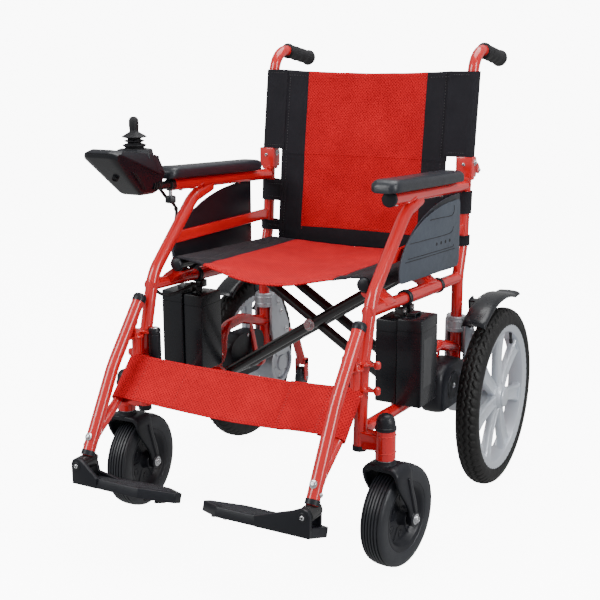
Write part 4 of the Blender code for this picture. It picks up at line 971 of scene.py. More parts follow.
    bm = new()
    shell = [(0.1602, -0.0100), (0.1620, -0.0195),
             (0.1650, -0.0232)] + section[1:-1] + [(0.1650, 0.0232), (0.1620, 0.0195),
                                                                                       (0.1602, 0.0100)]
    fine = []
    for (r0, a0), (r1, a1) in zip(shell, shell[1:]):
        fine += [(r0, a0), ((r0 + r1) / 2, (a0 + a1) / 2)]
    fine.append(shell[-1])
    lathe(bm, [(r, s * (a + x0)) for r, a in fine], (0, y, z), sides=640, closed=True, facets=tread)
    put(f"drive_tyre_{side}", bm, TYRE, wheel, f"wheel_tyre_{side}", sharp=60)

    # Fender.
    bm = new()
    rows = []
    steps = 42
    profile = [(0.288, 0.0070), (0.2895, 0.0040), (0.293, 0.0016), (0.298, 0.0004), (0.306, 0.0),
               (0.316, -0.0004),
               (0.326, 0.0), (0.333, 0.0006), (0.3375, 0.0018), (0.3408, 0.0040), (0.342, 0.0070)]
    for i in range(steps + 1):
        t = i / steps
        a = math.radians(-34.5 + 60.5 * t)
        flip = 0.012 * smooth((t - 0.84) / 0.16) ** 1.5
        ring = []
        for r0, line in ((0.2340, profile), (0.2312, list(reversed(profile)))):
            for xx, sink in line:
                ends = 0.004 * max(0.0, (0.05 - t) / 0.05) ** 2
                r = r0 - sink - ends + flip
                ring.append(Vector((s * xx, y + r * math.sin(a), z + r * math.cos(a))))
        rows.append(ring)
    loft(bm, rows)
    strut = fillet([(0.272, 0.360), (0.294, 0.360), (0.298, 0.384), (0.290, 0.432), (0.262, 0.426),
                    (0.274, 0.384)],
                   0.004, 4)
    slab(bm, strut, 0, s * 0.2745, s * 0.2785, 0, 0.0008, 2)
    block(bm, (s * 0.2745, 0.264, 0.4215), (s * 0.292, 0.288, 0.4258), 0, 0.001)
    for a, b in ((0.281, 0.366), (0.287, 0.379)):
        bolt(bm, (s * 0.2785, a, b), (s, 0, 0), 0.0038, 1)
    bolt(bm, (s * 0.2960, 0.276, 0.4300), (0, 0.1, 1), 0.0032, 1, washer=False)
    put(f"mudguard_{side}", bm, [CASE, STEEL], body, f"wheel_fender_{side}")


def battery(s):
    side, body = SIDES[s], f"frame_{SIDES[s]}"
    bm = new()

    def ring(z, x0, x1, y0, y1, grow):
        base = fillet([(s * (x0 - grow), y0 - grow), (s * (x1 + grow), y0 - grow),
                       (s * (x1 + grow), y1 + grow),
                       (s * (x0 - grow), y1 + grow)], 0.0022, 4)
        return [Vector((a, b, z)) for a, b in base]

    # Two modules side by side, the outer one a little proud, with a seam round each near its top.
    for x0, x1, y0, top in ((0.205, 0.2512, -0.0655, 0.4490), (0.2528, 0.305, -0.0700, 0.4550)):
        case = [(0.2796, -0.0030), (0.2806, -0.0008), (0.2830, 0.0), (top - 0.0245, 0.0),
                (top - 0.0240, -0.0007),
                (top - 0.0230, -0.0007), (top - 0.0225, 0.0), (top - 0.0030, 0.0), (top - 0.0008, -0.0008),
                (top, -0.0030)]
        loft(bm, [ring(z, x0, x1, y0, 0.012, g) for z, g in case])
    # A near-black block fills the gap between the two modules: painted shade between them.
    block(bm, (s * 0.2495, -0.0600, 0.2810), (s * 0.2545, 0.0100, 0.4470), 2, 0.0004, 1)
    sticker = fillet([(-0.058, 0.318), (-0.018, 0.318), (-0.018, 0.416), (-0.058, 0.416)], 0.002, 3)
    slab(bm, sticker, 0, s * 0.3049, s * 0.3053, 3, 0.0001, 1)
    for y0 in (-0.045, -0.018):
        block(bm, (s * 0.262, y0, 0.4540), (s * 0.280, y0 + 0.005, 0.4600), 0, 0.001)
    block(bm, (s * 0.262, -0.045, 0.4590), (s * 0.280, -0.013, 0.4625), 0, 0.0014)
    for x0 in (0.2200, 0.2790):
        lathe(bm, [(0, 0), (0.0040, 0), (0.0040, 0.0008), (0.0030, 0.0016), (0, 0.0017)],
              (s * x0, 0.012, 0.300),
              (0, 1, 0), 1, 24)
    put(f"battery_case_{side}", bm, [CASE, STEEL, SHADE_BLACK, STICKER], body, f"battery_box_{side}")
    bm = new()
    for y0 in (-0.050, -0.012):
        hook = fillet([(s * 0.238, 0.4535), (s * 0.256, 0.4535), (s * 0.256, 0.4700), (s * 0.238, 0.4700)],
                      0.002, 2)
        slab(bm, hook, 1, y0, y0 + 0.020, 0, 0.0008, 2)
        bolt(bm, (s * 0.2560, y0 + 0.010, 0.4625), (s, 0, 0), 0.0034, 1, washer=False)
    put(f"battery_hooks_{side}", bm, [BLACK_PAINT, STEEL], body)


# Leg hangers and footplates.


def hanger(s):
    side, body = SIDES[s], f"hanger_{SIDES[s]}"
    main = hanger_path(s)
    rear = rounded([(s * X, -0.252, 0.436), (s * X, -0.240, 0.400), (s * X, -0.240, 0.352),
                    (s * X, -0.312, 0.278),
                    (s * X, -0.388, 0.226)], 0.05, 8)
    bm = new()
    sweep(bm, main, R)
    sweep(bm, rear[1:-1] + [rear[-1]], 0.0095, 0, 24)
    upper = [(s * X, -0.222, 0.476), (s * X, -0.318, 0.355)]
    lower = [(s * X, -0.318, 0.355), (s * X, -0.407, 0.197)]
    weld(bm, rear[3], rear[0], 0.0095, upper, R)
    weld(bm, rear[-2], rear[-1], 0.0095, lower, R)
    for z in (0.347, 0.396):
        outline = ring_of((s * X, -0.241), 0.0155, 0, 360, 28)[:-1]
        slab(bm, outline, 2, z, z + 0.004, 0, 0.0010, 2)
        bolt(bm, (s * X, -0.241, z + 0.004), (0, 0, 1), 0.0050, 1, washer=False)
    block(bm, (s * X - 0.006, -0.272, 0.3960), (s * X + 0.006, -0.248, 0.4000), 0, 0.0008)
    lug = fillet([(s * X - 0.0095, 0.3985), (s * X + 0.0095, 0.3985), (s * X + 0.0095, 0.4290),
                  (s * X - 0.0095, 0.4290)],
                 0.004, 4)
    slab(bm, lug, 1, -0.2560, -0.2515, 0, 0.0008, 2)
    bolt(bm, (s * X, -0.2560, 0.414), (0, -1, 0), 0.0042, 1, washer=False)
    spot, low = Vector(main[-1]), Vector(main[-2])
    run = (spot - low).normalized()
    front = Vector((0, -1, 0)) - run * Vector((0, -1, 0)).dot(run)
    front.normalize()
    at = spot - run * 0.035
    bolt(bm, at + front * R, front, 0.0052, 1)
    bolt(bm, at - front * R, -front, 0.0048, 1, washer=False)
    bolt(bm, spot - run * 0.020 + Vector((s * R, 0, 0)), (s, 0, 0), 0.0042, 1, washer=False)
    put(f"leg_tube_{side}", bm, [RED, STEEL], body, f"leg_hanger_{side}")
    bm = new()
    top, second = Vector(main[0]), Vector(main[1])
    up = (top - second).normalized()
    lathe(bm, [(R + 0.0006, -0.012), (R + 0.0012, -0.010), (R + 0.0012, -0.001), (0.0118, 0.003),
               (0.0080, 0.0052),
               (0, 0.0060)], top, up)
    lathe(bm, [(R, 0.0), (R + 0.0010, 0.0006), (R + 0.0010, 0.0095), (R, 0.0100)], spot - run * 0.0105, run,
          0,
          closed=True)
    put(f"hanger_plugs_{side}", bm, PLASTIC, body)
    bm = new()
    sweep(bm, [spot - run * 0.004, spot + run * 0.020], 0.0100, 0, 32)
    x, z = s * X, 0.187
    barrel = [(0.0045, -0.4305), (0.0138, -0.4305), (0.0150, -0.4290), (0.0150, -0.3945), (0.0138, -0.3930),
              (0.0045, -0.3930)]
    lathe(bm, barrel, (x, 0, z), (0, 1, 0), 0, 40, closed=True)
    put(f"stem_barrel_{side}", bm, BLACK_PAINT, body, f"footrest_stem_{side}")

    # Footplate.
    plate = f"footplate_{side}"
    front = -0.440
    tilt = Matrix.Translation((0, front, z - 0.035)) @ Matrix.Rotation(math.radians(-20.0), 4, "X")
    tilt = tilt @ Matrix.Translation((0, -front, -(z - 0.035)))
    bm = new()
    inner = 0.012 if s == 1 else 0.050
    board = fillet([(s * inner, front + 0.044), (s * (inner + 0.056), front), (s * 0.260, front),
                    (s * 0.260, front + 0.072), (s * 0.205, front + 0.092), (s * 0.140, front + 0.108),
                    (s * (inner + 0.056), front + 0.108), (s * inner, front + 0.066)], 0.006, 5)
    slab(bm, board, 2, z - 0.037, z - 0.018, 0, 0.0016, 3)
    grip = fillet([(s * (inner + 0.009), front + 0.047), (s * (inner + 0.061), front + 0.007),
                   (s * 0.236, front + 0.007),
                   (s * 0.236, front + 0.066), (s * 0.200, front + 0.082), (s * 0.138, front + 0.100),
                   (s * (inner + 0.059), front + 0.100), (s * (inner + 0.009), front + 0.062)], 0.006, 5)
    slab(bm, grip, 2, z - 0.0185, z - 0.0172, 0, 0.0005, 2)
    for k in range(8):
        y0 = front + 0.014 + 0.0108 * k
        near = inner + 0.017 + 1.25 * max(0.0, front + 0.050 - y0, y0 - front - 0.060)
        far = 0.226 if k < 5 else 0.186 - 0.026 * (k - 5)
        sweep(bm, [(s * near, y0, z - 0.0172), (s * far, y0, z - 0.0172)], 0.0012, 0, 10)
    for a in (inner + 0.030, inner + 0.055):
        block(bm, (s * a, front + 0.030, z - 0.0425), (s * (a + 0.006), front + 0.062, z - 0.036), 0, 0.0008)
    bmesh.ops.transform(bm, matrix=tilt, verts=bm.verts)
    long, step = (0.098, 0.0) if s == 1 else (0.046, 0.006)
    cheeks = ((-0.4400, -0.4310, [(long, -0.038), (-0.013, -0.038), (-0.0135, 0.004), (-0.009, 0.012),
                                  (0.0, 0.0152), (0.009, 0.013), (0.024 - step, 0.006), (long, -0.018)]),
              (-0.3925, -0.3860, [(0.095, -0.044), (-0.009, -0.044), (-0.0098, 0.002), (-0.006, 0.0075),
                                  (0.006, 0.0075),
                                  (0.013, -0.024), (0.070, -0.034)]))
    for y0, y1, points in cheeks:
        slab(bm, [(s * (X - a), z + b) for a, b in points], 1, y0, y1, 0, 0.0011, 2)
    sweep(bm, [(x, -0.4385, z), (x, -0.3850, z)], 0.0036, 1, 16)
    lathe(bm, [(0, 0), (0.0082, 0), (0.0088, 0.0006), (0.0080, 0.0012), (0, 0.0008)], (x, -0.4400, z),
          (0, -1, 0), 0, 36)
    bolt(bm, (x, -0.4408, z), (0, -1, 0), 0.0046, 1, washer=False)
    lathe(bm, [(0, 0), (0.0062, 0), (0.0062, 0.0045), (0.0050, 0.0055), (0.0036, 0.0055), (0.0036, 0.0075),
               (0, 0.0075)],
          (x, -0.3860, z), (0, 1, 0), 1, 6)
    put(f"foot_board_{side}", bm, [PLASTIC, STEEL], plate, f"footplate_{side}")


# Cross brace.


def brace(s, name, body, front_y, rear_y):
    bm = new()
    low = [(s * BRACE_X, y, pitched(BRACE_Z, y)) for y in (0.0355, 0.1825)]
    sweep(bm, low, 0.0110)
    sweep(bm, [(s * BRACE_X, y, pitched(BRACE_Z, y)) for y in (0.0145, 0.2015)], 0.0050, 1, 16)
    seat = [(-s * SEAT_X, y, pitched(SEAT_Z, y)) for y in (-0.140, 0.258)]
    sweep(bm, seat, SEAT_R)
    for y in (front_y, rear_y):
        start = Vector((s * BRACE_X, y, pitched(BRACE_Z, y)))
        end = Vector((-s * SEAT_X, y, pitched(SEAT_Z, y)))
        sweep(bm, [start, end], 0.0110)
        weld(bm, (start + end) / 2, end, 0.0110, seat, SEAT_R)
        weld(bm, (start + end) / 2, start, 0.0110, low, 0.0110)
    for y, d in ((-0.1425, -1), (0.2600, 1)):
        end = Vector((-s * SEAT_X, y, pitched(SEAT_Z, y)))
        lathe(bm, [(SEAT_R - 0.001, -0.012), (SEAT_R + 0.0015, -0.010), (SEAT_R + 0.0020, -0.001),
                   (SEAT_R, 0.0020),
                   (0.006, 0.0040), (0, 0.0044)], end, (0, d, -d * PITCH), 2, 36)
    put(name, bm, [BLACK_PAINT, STEEL, PLASTIC], body, body.replace("brace_", "cross_brace_"))


def brace_centre():
    bm = new()
    ends = [Vector((0, y, pitched(BRACE_MID, y))) for y in (0.038, 0.212)]
    sweep(bm, ends, 0.0045, 0, 24)
    for y, d in ((0.0405, -1), (0.1815, 1)):
        spot = Vector((0, y, pitched(BRACE_MID, y)))
        lathe(bm, [(0, 0), (0.0125, 0), (0.0130, 0.0006), (0.0130, 0.0014), (0.0122, 0.0020), (0, 0.0020)],
              spot,
              (0, d, -d * PITCH), 0, 40)
        lathe(bm, [(0, 0.0018), (0.0085, 0.0018), (0.0085, 0.0070), (0.0075, 0.0080), (0, 0.0082)], spot,
              (0, d, -d * PITCH), 0, 6)
    for y0, y1 in ((0.0635, 0.0645), (0.0875, 0.1345), (0.1575, 0.1585)):
        a, b = (Vector((0, y, pitched(BRACE_MID, y))) for y in (y0, y1))
        sweep(bm, [a, b], 0.0095, 1, 28, 0.0003)
    put("centre_bolts", bm, [STEEL, PLASTIC], "brace_a", "brace_bolts")


# Controller.


def controller():
    cx = STICK.x
    bm = new()
    # The base narrows towards its flat foot. The lid is a sloping cap whose rim runs down from the nose.
    base = [(-0.3370, 0.7755), (-0.3350, 0.7660), (-0.2430, 0.6870), (-0.2360, 0.6840), (-0.1950, 0.6830),
            (-0.1840, 0.6860), (-0.1720, 0.7020), (-0.1700, 0.7180), (-0.1740, 0.7260), (-0.3280, 0.7775)]
    rings = []
    for k in range(15):
        u = k / 7 - 1
        shrink = max(0.0, abs(u) - 0.62) / 0.38
        ring = []
        for y, z in fillet(base, 0.006, 3):
            taper = 1.0 - 0.26 * smooth((0.735 - z) / 0.052)
            py = y + (-0.245 - y) * 0.10 * shrink ** 2.2
            pz = z + (0.735 - z) * 0.12 * shrink ** 2.2
            ring.append(Vector((cx + 0.0398 * u * taper, py, pz)))
        rings.append(ring)
    loft(bm, rings)
    # The vent slots are rods in the near-black finish: painted shade inside each slot.
    for d in (-1, 1):
        for k in range(4):
            y0 = -0.205 + 0.0075 * k
            spot = cx + d * 0.0335
            sweep(bm, [(spot + d * 0.0022, y0, 0.7060), (spot - d * 0.0020, y0 - 0.001, 0.6925)], 0.0016, 1,
                  8)
        vent = curved([(cx + d * 0.0385, -0.2720, 0.7320), (cx + d * 0.0365, -0.2500, 0.7120),
                       (cx + d * 0.0330, -0.2340, 0.6950)], 0.005)
        sweep(bm, vent, 0.0009, 1, 8)
        vent = [p + Vector((0, -0.007, 0.002)) for p in vent]
        sweep(bm, vent, 0.0009, 1, 8)
    put("controller_shell", bm, [CASE, SHADE_BLACK], "frame_right", "controller_box", sharp=34)

    bm = new()

    y_low, y_high = -0.3378, -0.1690

    def plan(grow, z_of):
        outline = fillet([(cx - 0.0270, y_low), (cx + 0.0270, y_low), (cx + 0.0400, y_low + 0.022),
                          (cx + 0.0408, -0.2000), (cx + 0.0350, y_high), (cx - 0.0350, y_high),
                          (cx - 0.0408, -0.2000), (cx - 0.0400, y_low + 0.022)], 0.008, 5)
        middle = (cx, -0.2450)
        return [Vector((middle[0] + (a - middle[0]) * grow, middle[1] + (b - middle[1]) * grow,
                        z_of(middle[1] + (b - middle[1]) * grow))) for a, b in outline]

    def rim_z(y):
        return 0.7755 - 0.0535 * smooth((y + 0.345) / 0.180)

    def top_z(y):
        return 0.7635 + 0.0200 * max(0.0, -0.222 - y) / 0.114 - 0.0080 * smooth((y + 0.212) / 0.040)

    def mid_z(share):
        return lambda y: rim_z(y) * (1 - share) + top_z(y) * share

    loft(bm, [plan(0.985, lambda y: rim_z(y) - 0.0022), plan(1.0, lambda y: rim_z(y) - 0.0012),
              plan(1.004, rim_z), plan(0.995, mid_z(0.10)), plan(0.92, mid_z(0.55)), plan(0.85, mid_z(0.90)),
              plan(0.83, mid_z(0.985)), plan(0.80, mid_z(1.0))])
    # The raised seat of the joystick.
    plateau = [(0.0375, 0.7560), (0.0365, 0.7640), (0.0350, 0.7715), (0.0335, 0.7732), (0.0210, 0.7737),
               (0.0195, 0.7680)]
    lathe(bm, plateau, (STICK.x, STICK.y, 0), (0, 0, 1), 0, 8)
    put("controller_lid", bm, PLASTIC, "frame_right", sharp=30)

    # Keypad face behind the stick, with its lamp window and small keys.
    bm = new()
    pad = fillet([(cx - 0.028, -0.199), (cx - 0.028, -0.1765), (cx + 0.028, -0.1765), (cx + 0.028, -0.199)],
                 0.005, 5)
    slab(bm, pad, 2, 0.7530, 0.7606, 0, 0.0010, 3)
    slab(bm, fillet([(cx - 0.004, -0.1955), (cx + 0.027, -0.1955), (cx + 0.027, -0.1860),
                     (cx - 0.004, -0.1860)], 0.003, 4),
         2, 0.7600, 0.7612, 1, 0.0004, 2)
    for k in range(2):
        lathe(bm, [(0.0046, 0), (0.0046, 0.0014), (0.0036, 0.0022), (0, 0.0023)],
              (cx + 0.004 + 0.013 * k, -0.1815, 0.7601),
              (0, 0, 1), 2, 28)
    for k in range(5):
        lathe(bm, [(0.0011, 0), (0.0009, 0.0004), (0, 0.0005)], (cx + 0.001 + 0.0055 * k, -0.1908, 0.7610),
              (0, 0, 1), 3, 12)
    tilt = Matrix.Translation((cx, -0.181, 0.7560)) @ Matrix.Rotation(math.radians(-9.5), 4, "X")
    bmesh.ops.transform(bm, matrix=tilt @ Matrix.Translation((-cx, 0.181, -0.7590)), verts=bm.verts)
    put("controller_keypad", bm, [CASE, LAMP, GREY, STEEL], "frame_right")

    # The boot's foot, the port on the nose and the lead's strain relief.
    bm = new()
    lathe(bm, [(0.0195, 0.7700), (0.0230, 0.7732), (0.0225, 0.7748), (0.0175, 0.7756), (0.0165, 0.7700)],
          (STICK.x, STICK.y, 0), (0, 0, 1), 0, 64)
    lathe(bm, [(0, -0.002), (0.0056, -0.002), (0.0064, 0.0), (0.0064, 0.004), (0.0052, 0.0048),
               (0.0046, 0.0014),
               (0, 0.0012)], (cx, -0.2860, 0.7225), (0, -0.65, -0.76), 0, 32)
    lathe(bm, [(0.0088, 0), (0.0092, 0.001), (0.0092, 0.006), (0.0078, 0.009), (0.0058, 0.010),
               (0.0050, 0.021),
               (0.0036, 0.023)], (-0.2640, -0.1770, 0.706), (0, 1, -0.06), 0, 28)
    put("controller_boot_rim", bm, RUBBER, "frame_right")

    # Gimbal: the lower bellows. Stick: the upper bellows, the neck and the knob.
    x, y, z = STICK
    bm = new()
    folds = [(0.0160, 0.0000), (0.0175, 0.0035), (0.0232, 0.0084), (0.0235, 0.0092), (0.0231, 0.0098),
             (0.0165, 0.0124), (0.0145, 0.0128), (0.0145, 0.0060), (0.0145, -0.0030)]
    lathe(bm, folds, (x, y, z), (0, 0, 1), 0, 64, closed=True)
    put("boot_lower", bm, RUBBER, "joystick_gimbal", "joystick_gimbal")
    bm = new()
    knob = [(0, -0.0030), (0.0110, -0.0020), (0.0135, 0.0100), (0.0135, 0.0140), (0.0196, 0.0168),
            (0.0199, 0.0175),
            (0.0195, 0.0181), (0.0138, 0.0200), (0.0128, 0.0215), (0.0160, 0.0228), (0.0242, 0.0246),
            (0.0246, 0.0254), (0.0240, 0.0263), (0.0180, 0.0300), (0.0125, 0.0330), (0.0098, 0.0350),
            (0.0088, 0.0375),
            (0.0092, 0.0400), (0.0097, 0.0450), (0.0099, 0.0520), (0.0095, 0.0570), (0.0082, 0.0608),
            (0.0060, 0.0632), (0.0032, 0.0644), (0, 0.0647)]
    lathe(bm, knob, (x, y, z), (0, 0, 1), 0, 64)
    put("joystick_knob", bm, RUBBER, "joystick_stick", "joystick_stick")
    bm = new()
    cap = fillet([(x - 0.0290, -0.195), (x - 0.0090, -0.195), (x - 0.0090, -0.175), (x - 0.0290, -0.175)],
                 0.006, 5)
    slab(bm, cap, 2, 0.7495, 0.7628, 0, 0.0016, 4)
    lathe(bm, [(0.0052, 0), (0.0058, 0.0004), (0.0052, 0.0008)], (x - 0.019, -0.185, 0.7625), (0, 0, 1), 1,
          28,
          closed=True)
    put("power_key", bm, [GREY, STEEL], "power_button", "power_button")

    # Carrier bar, its clamp screw and knob.
    bm = new()
    sweep(bm, [(x, -0.1900, 0.6943), (x, -0.1005, 0.6902)], 0.0088, 0, 32)
    lathe(bm, [(0, 0), (0.0110, 0.0), (0.0124, 0.0012), (0.0124, 0.0125), (0.0116, 0.0135), (0, 0.0135)],
          (x, -0.1140, 0.6908), (0, 1, -0.045), 0, 36)
    sweep(bm, [(x, -0.107, 0.684), (x, -0.107, 0.664)], 0.0040, 1, 20)
    lathe(bm, [(0, 0), (0.0085, 0.0), (0.0118, 0.0016), (0.0120, 0.0040), (0.0120, 0.0120), (0.0108, 0.0145),
               (0.0060, 0.0160), (0, 0.0160)], (x, -0.107, 0.652), (0, 0, 1), 2, 40,
          facets=lambda a, along: 1.0 - 0.10 * (0.5 + 0.5 * math.cos(6 * a)))
    put("controller_bar", bm, [BLACK_PAINT, STEEL, PLASTIC], "frame_right", "controller_arm")


CABLE_ROUTE = [
    (-0.2640, -0.1730, 0.706), (-0.2640, -0.1500, 0.7045), (-0.2655, -0.126, 0.689), (-0.2665, -0.098, 0.664),
    (-0.2672, -0.062, 0.636), (-0.2672, -0.064, 0.606), (-0.2665, -0.090, 0.574), (-0.2665, -0.120, 0.542),
    (-0.2660, -0.146, 0.505), (-0.2600, -0.150, 0.474), (-0.2450, -0.132, 0.461), (-0.2300, -0.100, 0.466),
    (-0.2220, -0.066, 0.4745), (-0.2200, -0.051, 0.467), (-0.2200, -0.050, 0.4560),
]


def cable():
    bm = new()
    path = curved(CABLE_ROUTE, 0.004)
    sweep(bm, path, 0.0035, 0, 18)
    for i in (34, 62):
        p = path[i]
        run = (path[i + 1] - path[i - 1]).normalized()
        lathe(bm, [(0.0036, -0.002), (0.0047, -0.002), (0.0047, 0.002), (0.0036, 0.002)], p, run, 0, 24,
              closed=True)
    lathe(bm, [(0.0036, 0), (0.0060, 0.001), (0.0068, 0.004), (0.0068, 0.010), (0.0040, 0.012)],
          (-0.2200, -0.050, 0.4560),
          (0, 0, 1), 0, 24)
    put("control_lead", bm, RUBBER, "frame_right", "control_cable", sharp=50)


# Cloth. Every sheet is a grid of points, given thickness, with UVs in metres for the weave.


def stitched(bm, line, mat, pitch=0.0046, size=0.00055):
    """A row of short stitches along the line."""
    path = curved(line, 0.0023)
    travel, last = 0.0, 0.0
    for a, b in zip(path, path[1:]):
        travel += (b - a).length
        if travel - last < pitch:
            continue
        last = travel
        run = (b - a).normalized()
        across = run.orthogonal().normalized()
        up = run.cross(across)
        rings = []
        for along, r in ((-0.0015, 0.35), (-0.0009, 1.0), (0.0009, 1.0), (0.0015, 0.35)):
            rings.append([bm.verts.new(b + run * along + (across * math.cos(t) + up * math.sin(t)) * size * r)
                          for t in (2 * math.pi * k / 6 for k in range(6))])
        skin(bm, rings, mat)


def cloth(name, rows, mats, choose, thick=0.0026, lines=(), keep=None, body=None, cad=()):
    """The grid as cloth. choose gives a face's material by row and column, lines are (material, points)."""
    bm = new()
    uv = bm.loops.layers.uv.new("UVMap")
    count = len(rows[0])
    grid = [[bm.verts.new(p + SHIFT) for p in row] for row in rows]
    across = []
    for row in rows:
        run = [0.0]
        for a, b in zip(row, row[1:]):
            run.append(run[-1] + (b - a).length)
        across.append([u - run[-1] / 2 for u in run])
    down = [[0.0] * count]
    for low, high in zip(rows, rows[1:]):
        down.append([v + (b - a).length for v, a, b in zip(down[-1], low, high)])
    for i in range(len(rows) - 1):
        for j in range(count - 1):
            if keep and not keep(i, j):
                continue
            corners = [(i, j), (i, j + 1), (i + 1, j + 1), (i + 1, j)]
            face = bm.faces.new([grid[a][b] for a, b in corners])
            face.material_index = choose(i, j)
            face.smooth = True
            for loop, (a, b) in zip(face.loops, corners):
                loop[uv].uv = (across[a][b], down[a][b])
    for vert in [v for v in bm.verts if not v.link_faces]:
        bm.verts.remove(vert)
    mesh = bpy.data.meshes.new(name)
    bm.to_mesh(mesh)
    bm.free()
    made = bpy.data.objects.new(name, mesh)
    bpy.context.scene.collection.objects.link(made)
    for mat in mats:
        mesh.materials.append(mat)
    if thick:
        solid = made.modifiers.new("thickness", "SOLIDIFY")
        solid.thickness = thick
        solid.offset = 0.0
        solid.use_even_offset = True
        bake(made)
    if lines:
        bm = new()
        bm.from_mesh(made.data)
        for mat, points in lines:
            stitched(bm, [Vector(p) + SHIFT for p in points], mat)
        bm.to_mesh(made.data)
        bm.free()
    made.data.shade_smooth()
    made.data.set_sharp_from_angle(angle=math.radians(50))
    if body:
        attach(made, body)
    if cad:
        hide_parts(cad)
    return made


def bake(made):
    """The object's mesh becomes what its modifiers make of it."""
    graph = bpy.context.evaluated_depsgraph_get()
    mesh = bpy.data.meshes.new_from_object(made.evaluated_get(graph))
    made.modifiers.clear()
    made.data = mesh


def spread(*stops):
    """Values through the stops (value, step) with the given step up to the next stop."""
    found = []
    for (a, step), (b, _) in zip(stops, stops[1:]):
        count = max(1, round((b - a) / step))
        found += [a + (b - a) * k / count for k in range(count)]
    return found + [stops[-1][0]]


def ripple(x, y, scale, seed):
    return noise.noise(Vector((x * scale, y * scale, seed)))


WRAP = 0.0139  # middle of the seat's cloth round a seat tube
SAG = ((-0.132, 0.036), (-0.040, 0.029), (0.060, 0.021), (0.160, 0.013), (0.248, 0.006))


def sag_at(y):
    for (y0, a), (y1, b) in zip(SAG, SAG[1:]):
        if y <= y1:
            t = (y - y0) / (y1 - y0)
            return a + (b - a) * t
    return SAG[-1][1]


def seat_top(x, y):
    """The height of the seat's cloth, with soft folds that run in from the front corners."""
    u = min(1.0, abs(x) / 0.218)
    z = pitched(SEAT_Z, y) + WRAP + 0.0006 - sag_at(max(y, -0.132)) * (1 - u * u) ** 2
    free = (1 - u ** 6)
    dx, dy = abs(x) - 0.205, y + 0.150
    turn = math.atan2(dy, -dx)
    far = math.hypot(dx, dy)
    fold = math.sin(turn * 11.0 + 1.5 * math.copysign(1, x)) * math.exp(-((far - 0.075) / 0.060) ** 2)
    z += free * (0.0011 * fold + 0.0022 * ripple(x * 0.6, y, 11.0, 3.1) + 0.0009 * ripple(x, y, 34.0, 8.2))
    for line in (0.149, 0.1745):
        z -= 0.0009 * math.exp(-((abs(x) - line) / 0.0028) ** 2)
    return z


def seat():
    tops = spread((0.0, 0.005), (0.146, 0.0015), (0.152, 0.004), (0.1715, 0.0015), (0.1775, 0.004),
                  (0.208, 0.004))
    wraps = list(range(84, -152, -9))
    edge = -0.1385
    stations = spread((edge, 0.0018), (-0.128, 0.005), (0.243, 0.0022), (0.252, 0.002))
    rows = []
    for y in stations:
        end = min(1.0, (y - edge) / 0.004)
        z0 = pitched(SEAT_Z, y)
        row = [Vector((x, y, seat_top(x, y) - 0.0024 * (1 - end))) for x in tops]
        for a in wraps:
            a = math.radians(a)
            row.append(Vector((SEAT_X + WRAP * math.cos(a), y,
                               z0 + WRAP * math.sin(a) + 0.0006 * math.sin(a))))
        left = [Vector((-p.x, p.y, p.z)) for p in reversed(row[1:])]
        for k, p in enumerate(left):
            if abs(p.x) < 0.2085 and len(wraps) <= k:
                p.z = seat_top(p.x, y) - 0.0024 * (1 - end)
        rows.append(left + row)
    reach = len(tops) + len(wraps) - 1

    def column(j):
        k = j - reach if j >= reach else reach - 1 - j
        return 1 if j >= reach else -1, k

    def choose(i, j):
        _, k = column(j)
        return 0 if k < len(tops) - 1 and tops[k] < 0.1488 else 1

    def keep(i, j):
        d, k = column(j)
        if k < len(tops) - 1:
            return True
        a = wraps[min(k - len(tops) + 1, len(wraps) - 1)]
        y = (stations[i] + stations[i + 1]) / 2
        bars = (0.052, 0.146) if d == 1 else (0.076, 0.170)
        near_bar = any(abs(y - b) < 0.0165 for b in bars) and a < -20
        near_saddle = any(abs(y - b) < 0.0235 for b in (-0.112, 0.111)) and a < -12
        return not (near_bar or near_saddle)

    lines = []
    for d in (-1, 1):
        for x, mat in ((0.1462, 2), (0.1725, 3), (0.1765, 3)):
            lines.append((mat, [(d * x, y, seat_top(d * x, y) + 0.0017) for y in stations[3:-2:3]]))
    y = -0.1290
    lines.append((2, [(x, y, seat_top(x, y) + 0.0017) for x in np.linspace(-0.144, 0.144, 60)]))
    for d in (-1, 1):
        lines.append((3, [(d * x, y, seat_top(d * x, y) + 0.0017) for x in np.linspace(0.152, 0.208, 14)]))
    made = cloth("seat_cloth", rows, [MESH, OXFORD, RED_THREAD, THREAD], choose, 0.0026, lines, keep)
    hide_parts("seat_sling")
    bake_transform(made)


def cane_y(z):
    return 0.305 + 0.1281 * (z - 0.744)


def back_y(x, z):
    """The middle of the back's cloth: in front of the canes and posts, and bowed between them."""
    u = min(1.0, abs(x) / 0.205)
    if z > 0.7215:
        y = cane_y(z) - 0.0168
    else:
        y = 0.26825 + max(0.0, z - 0.54) / 0.18 * 0.0173
    rise = smooth((z - 0.535) / 0.15)
    bow = (0.0035 + 0.0075 * rise) * (1 - u * u)
    y += bow + (1 - u ** 8) * (0.0024 * ripple(x, z * 0.7, 9.0, 5.5) + 0.0009 * ripple(x * 1.4, z, 30.0, 1.7))
    for line in (0.147, 0.196):
        y += 0.0009 * math.exp(-((abs(x) - line) / 0.0028) ** 2)
    return y


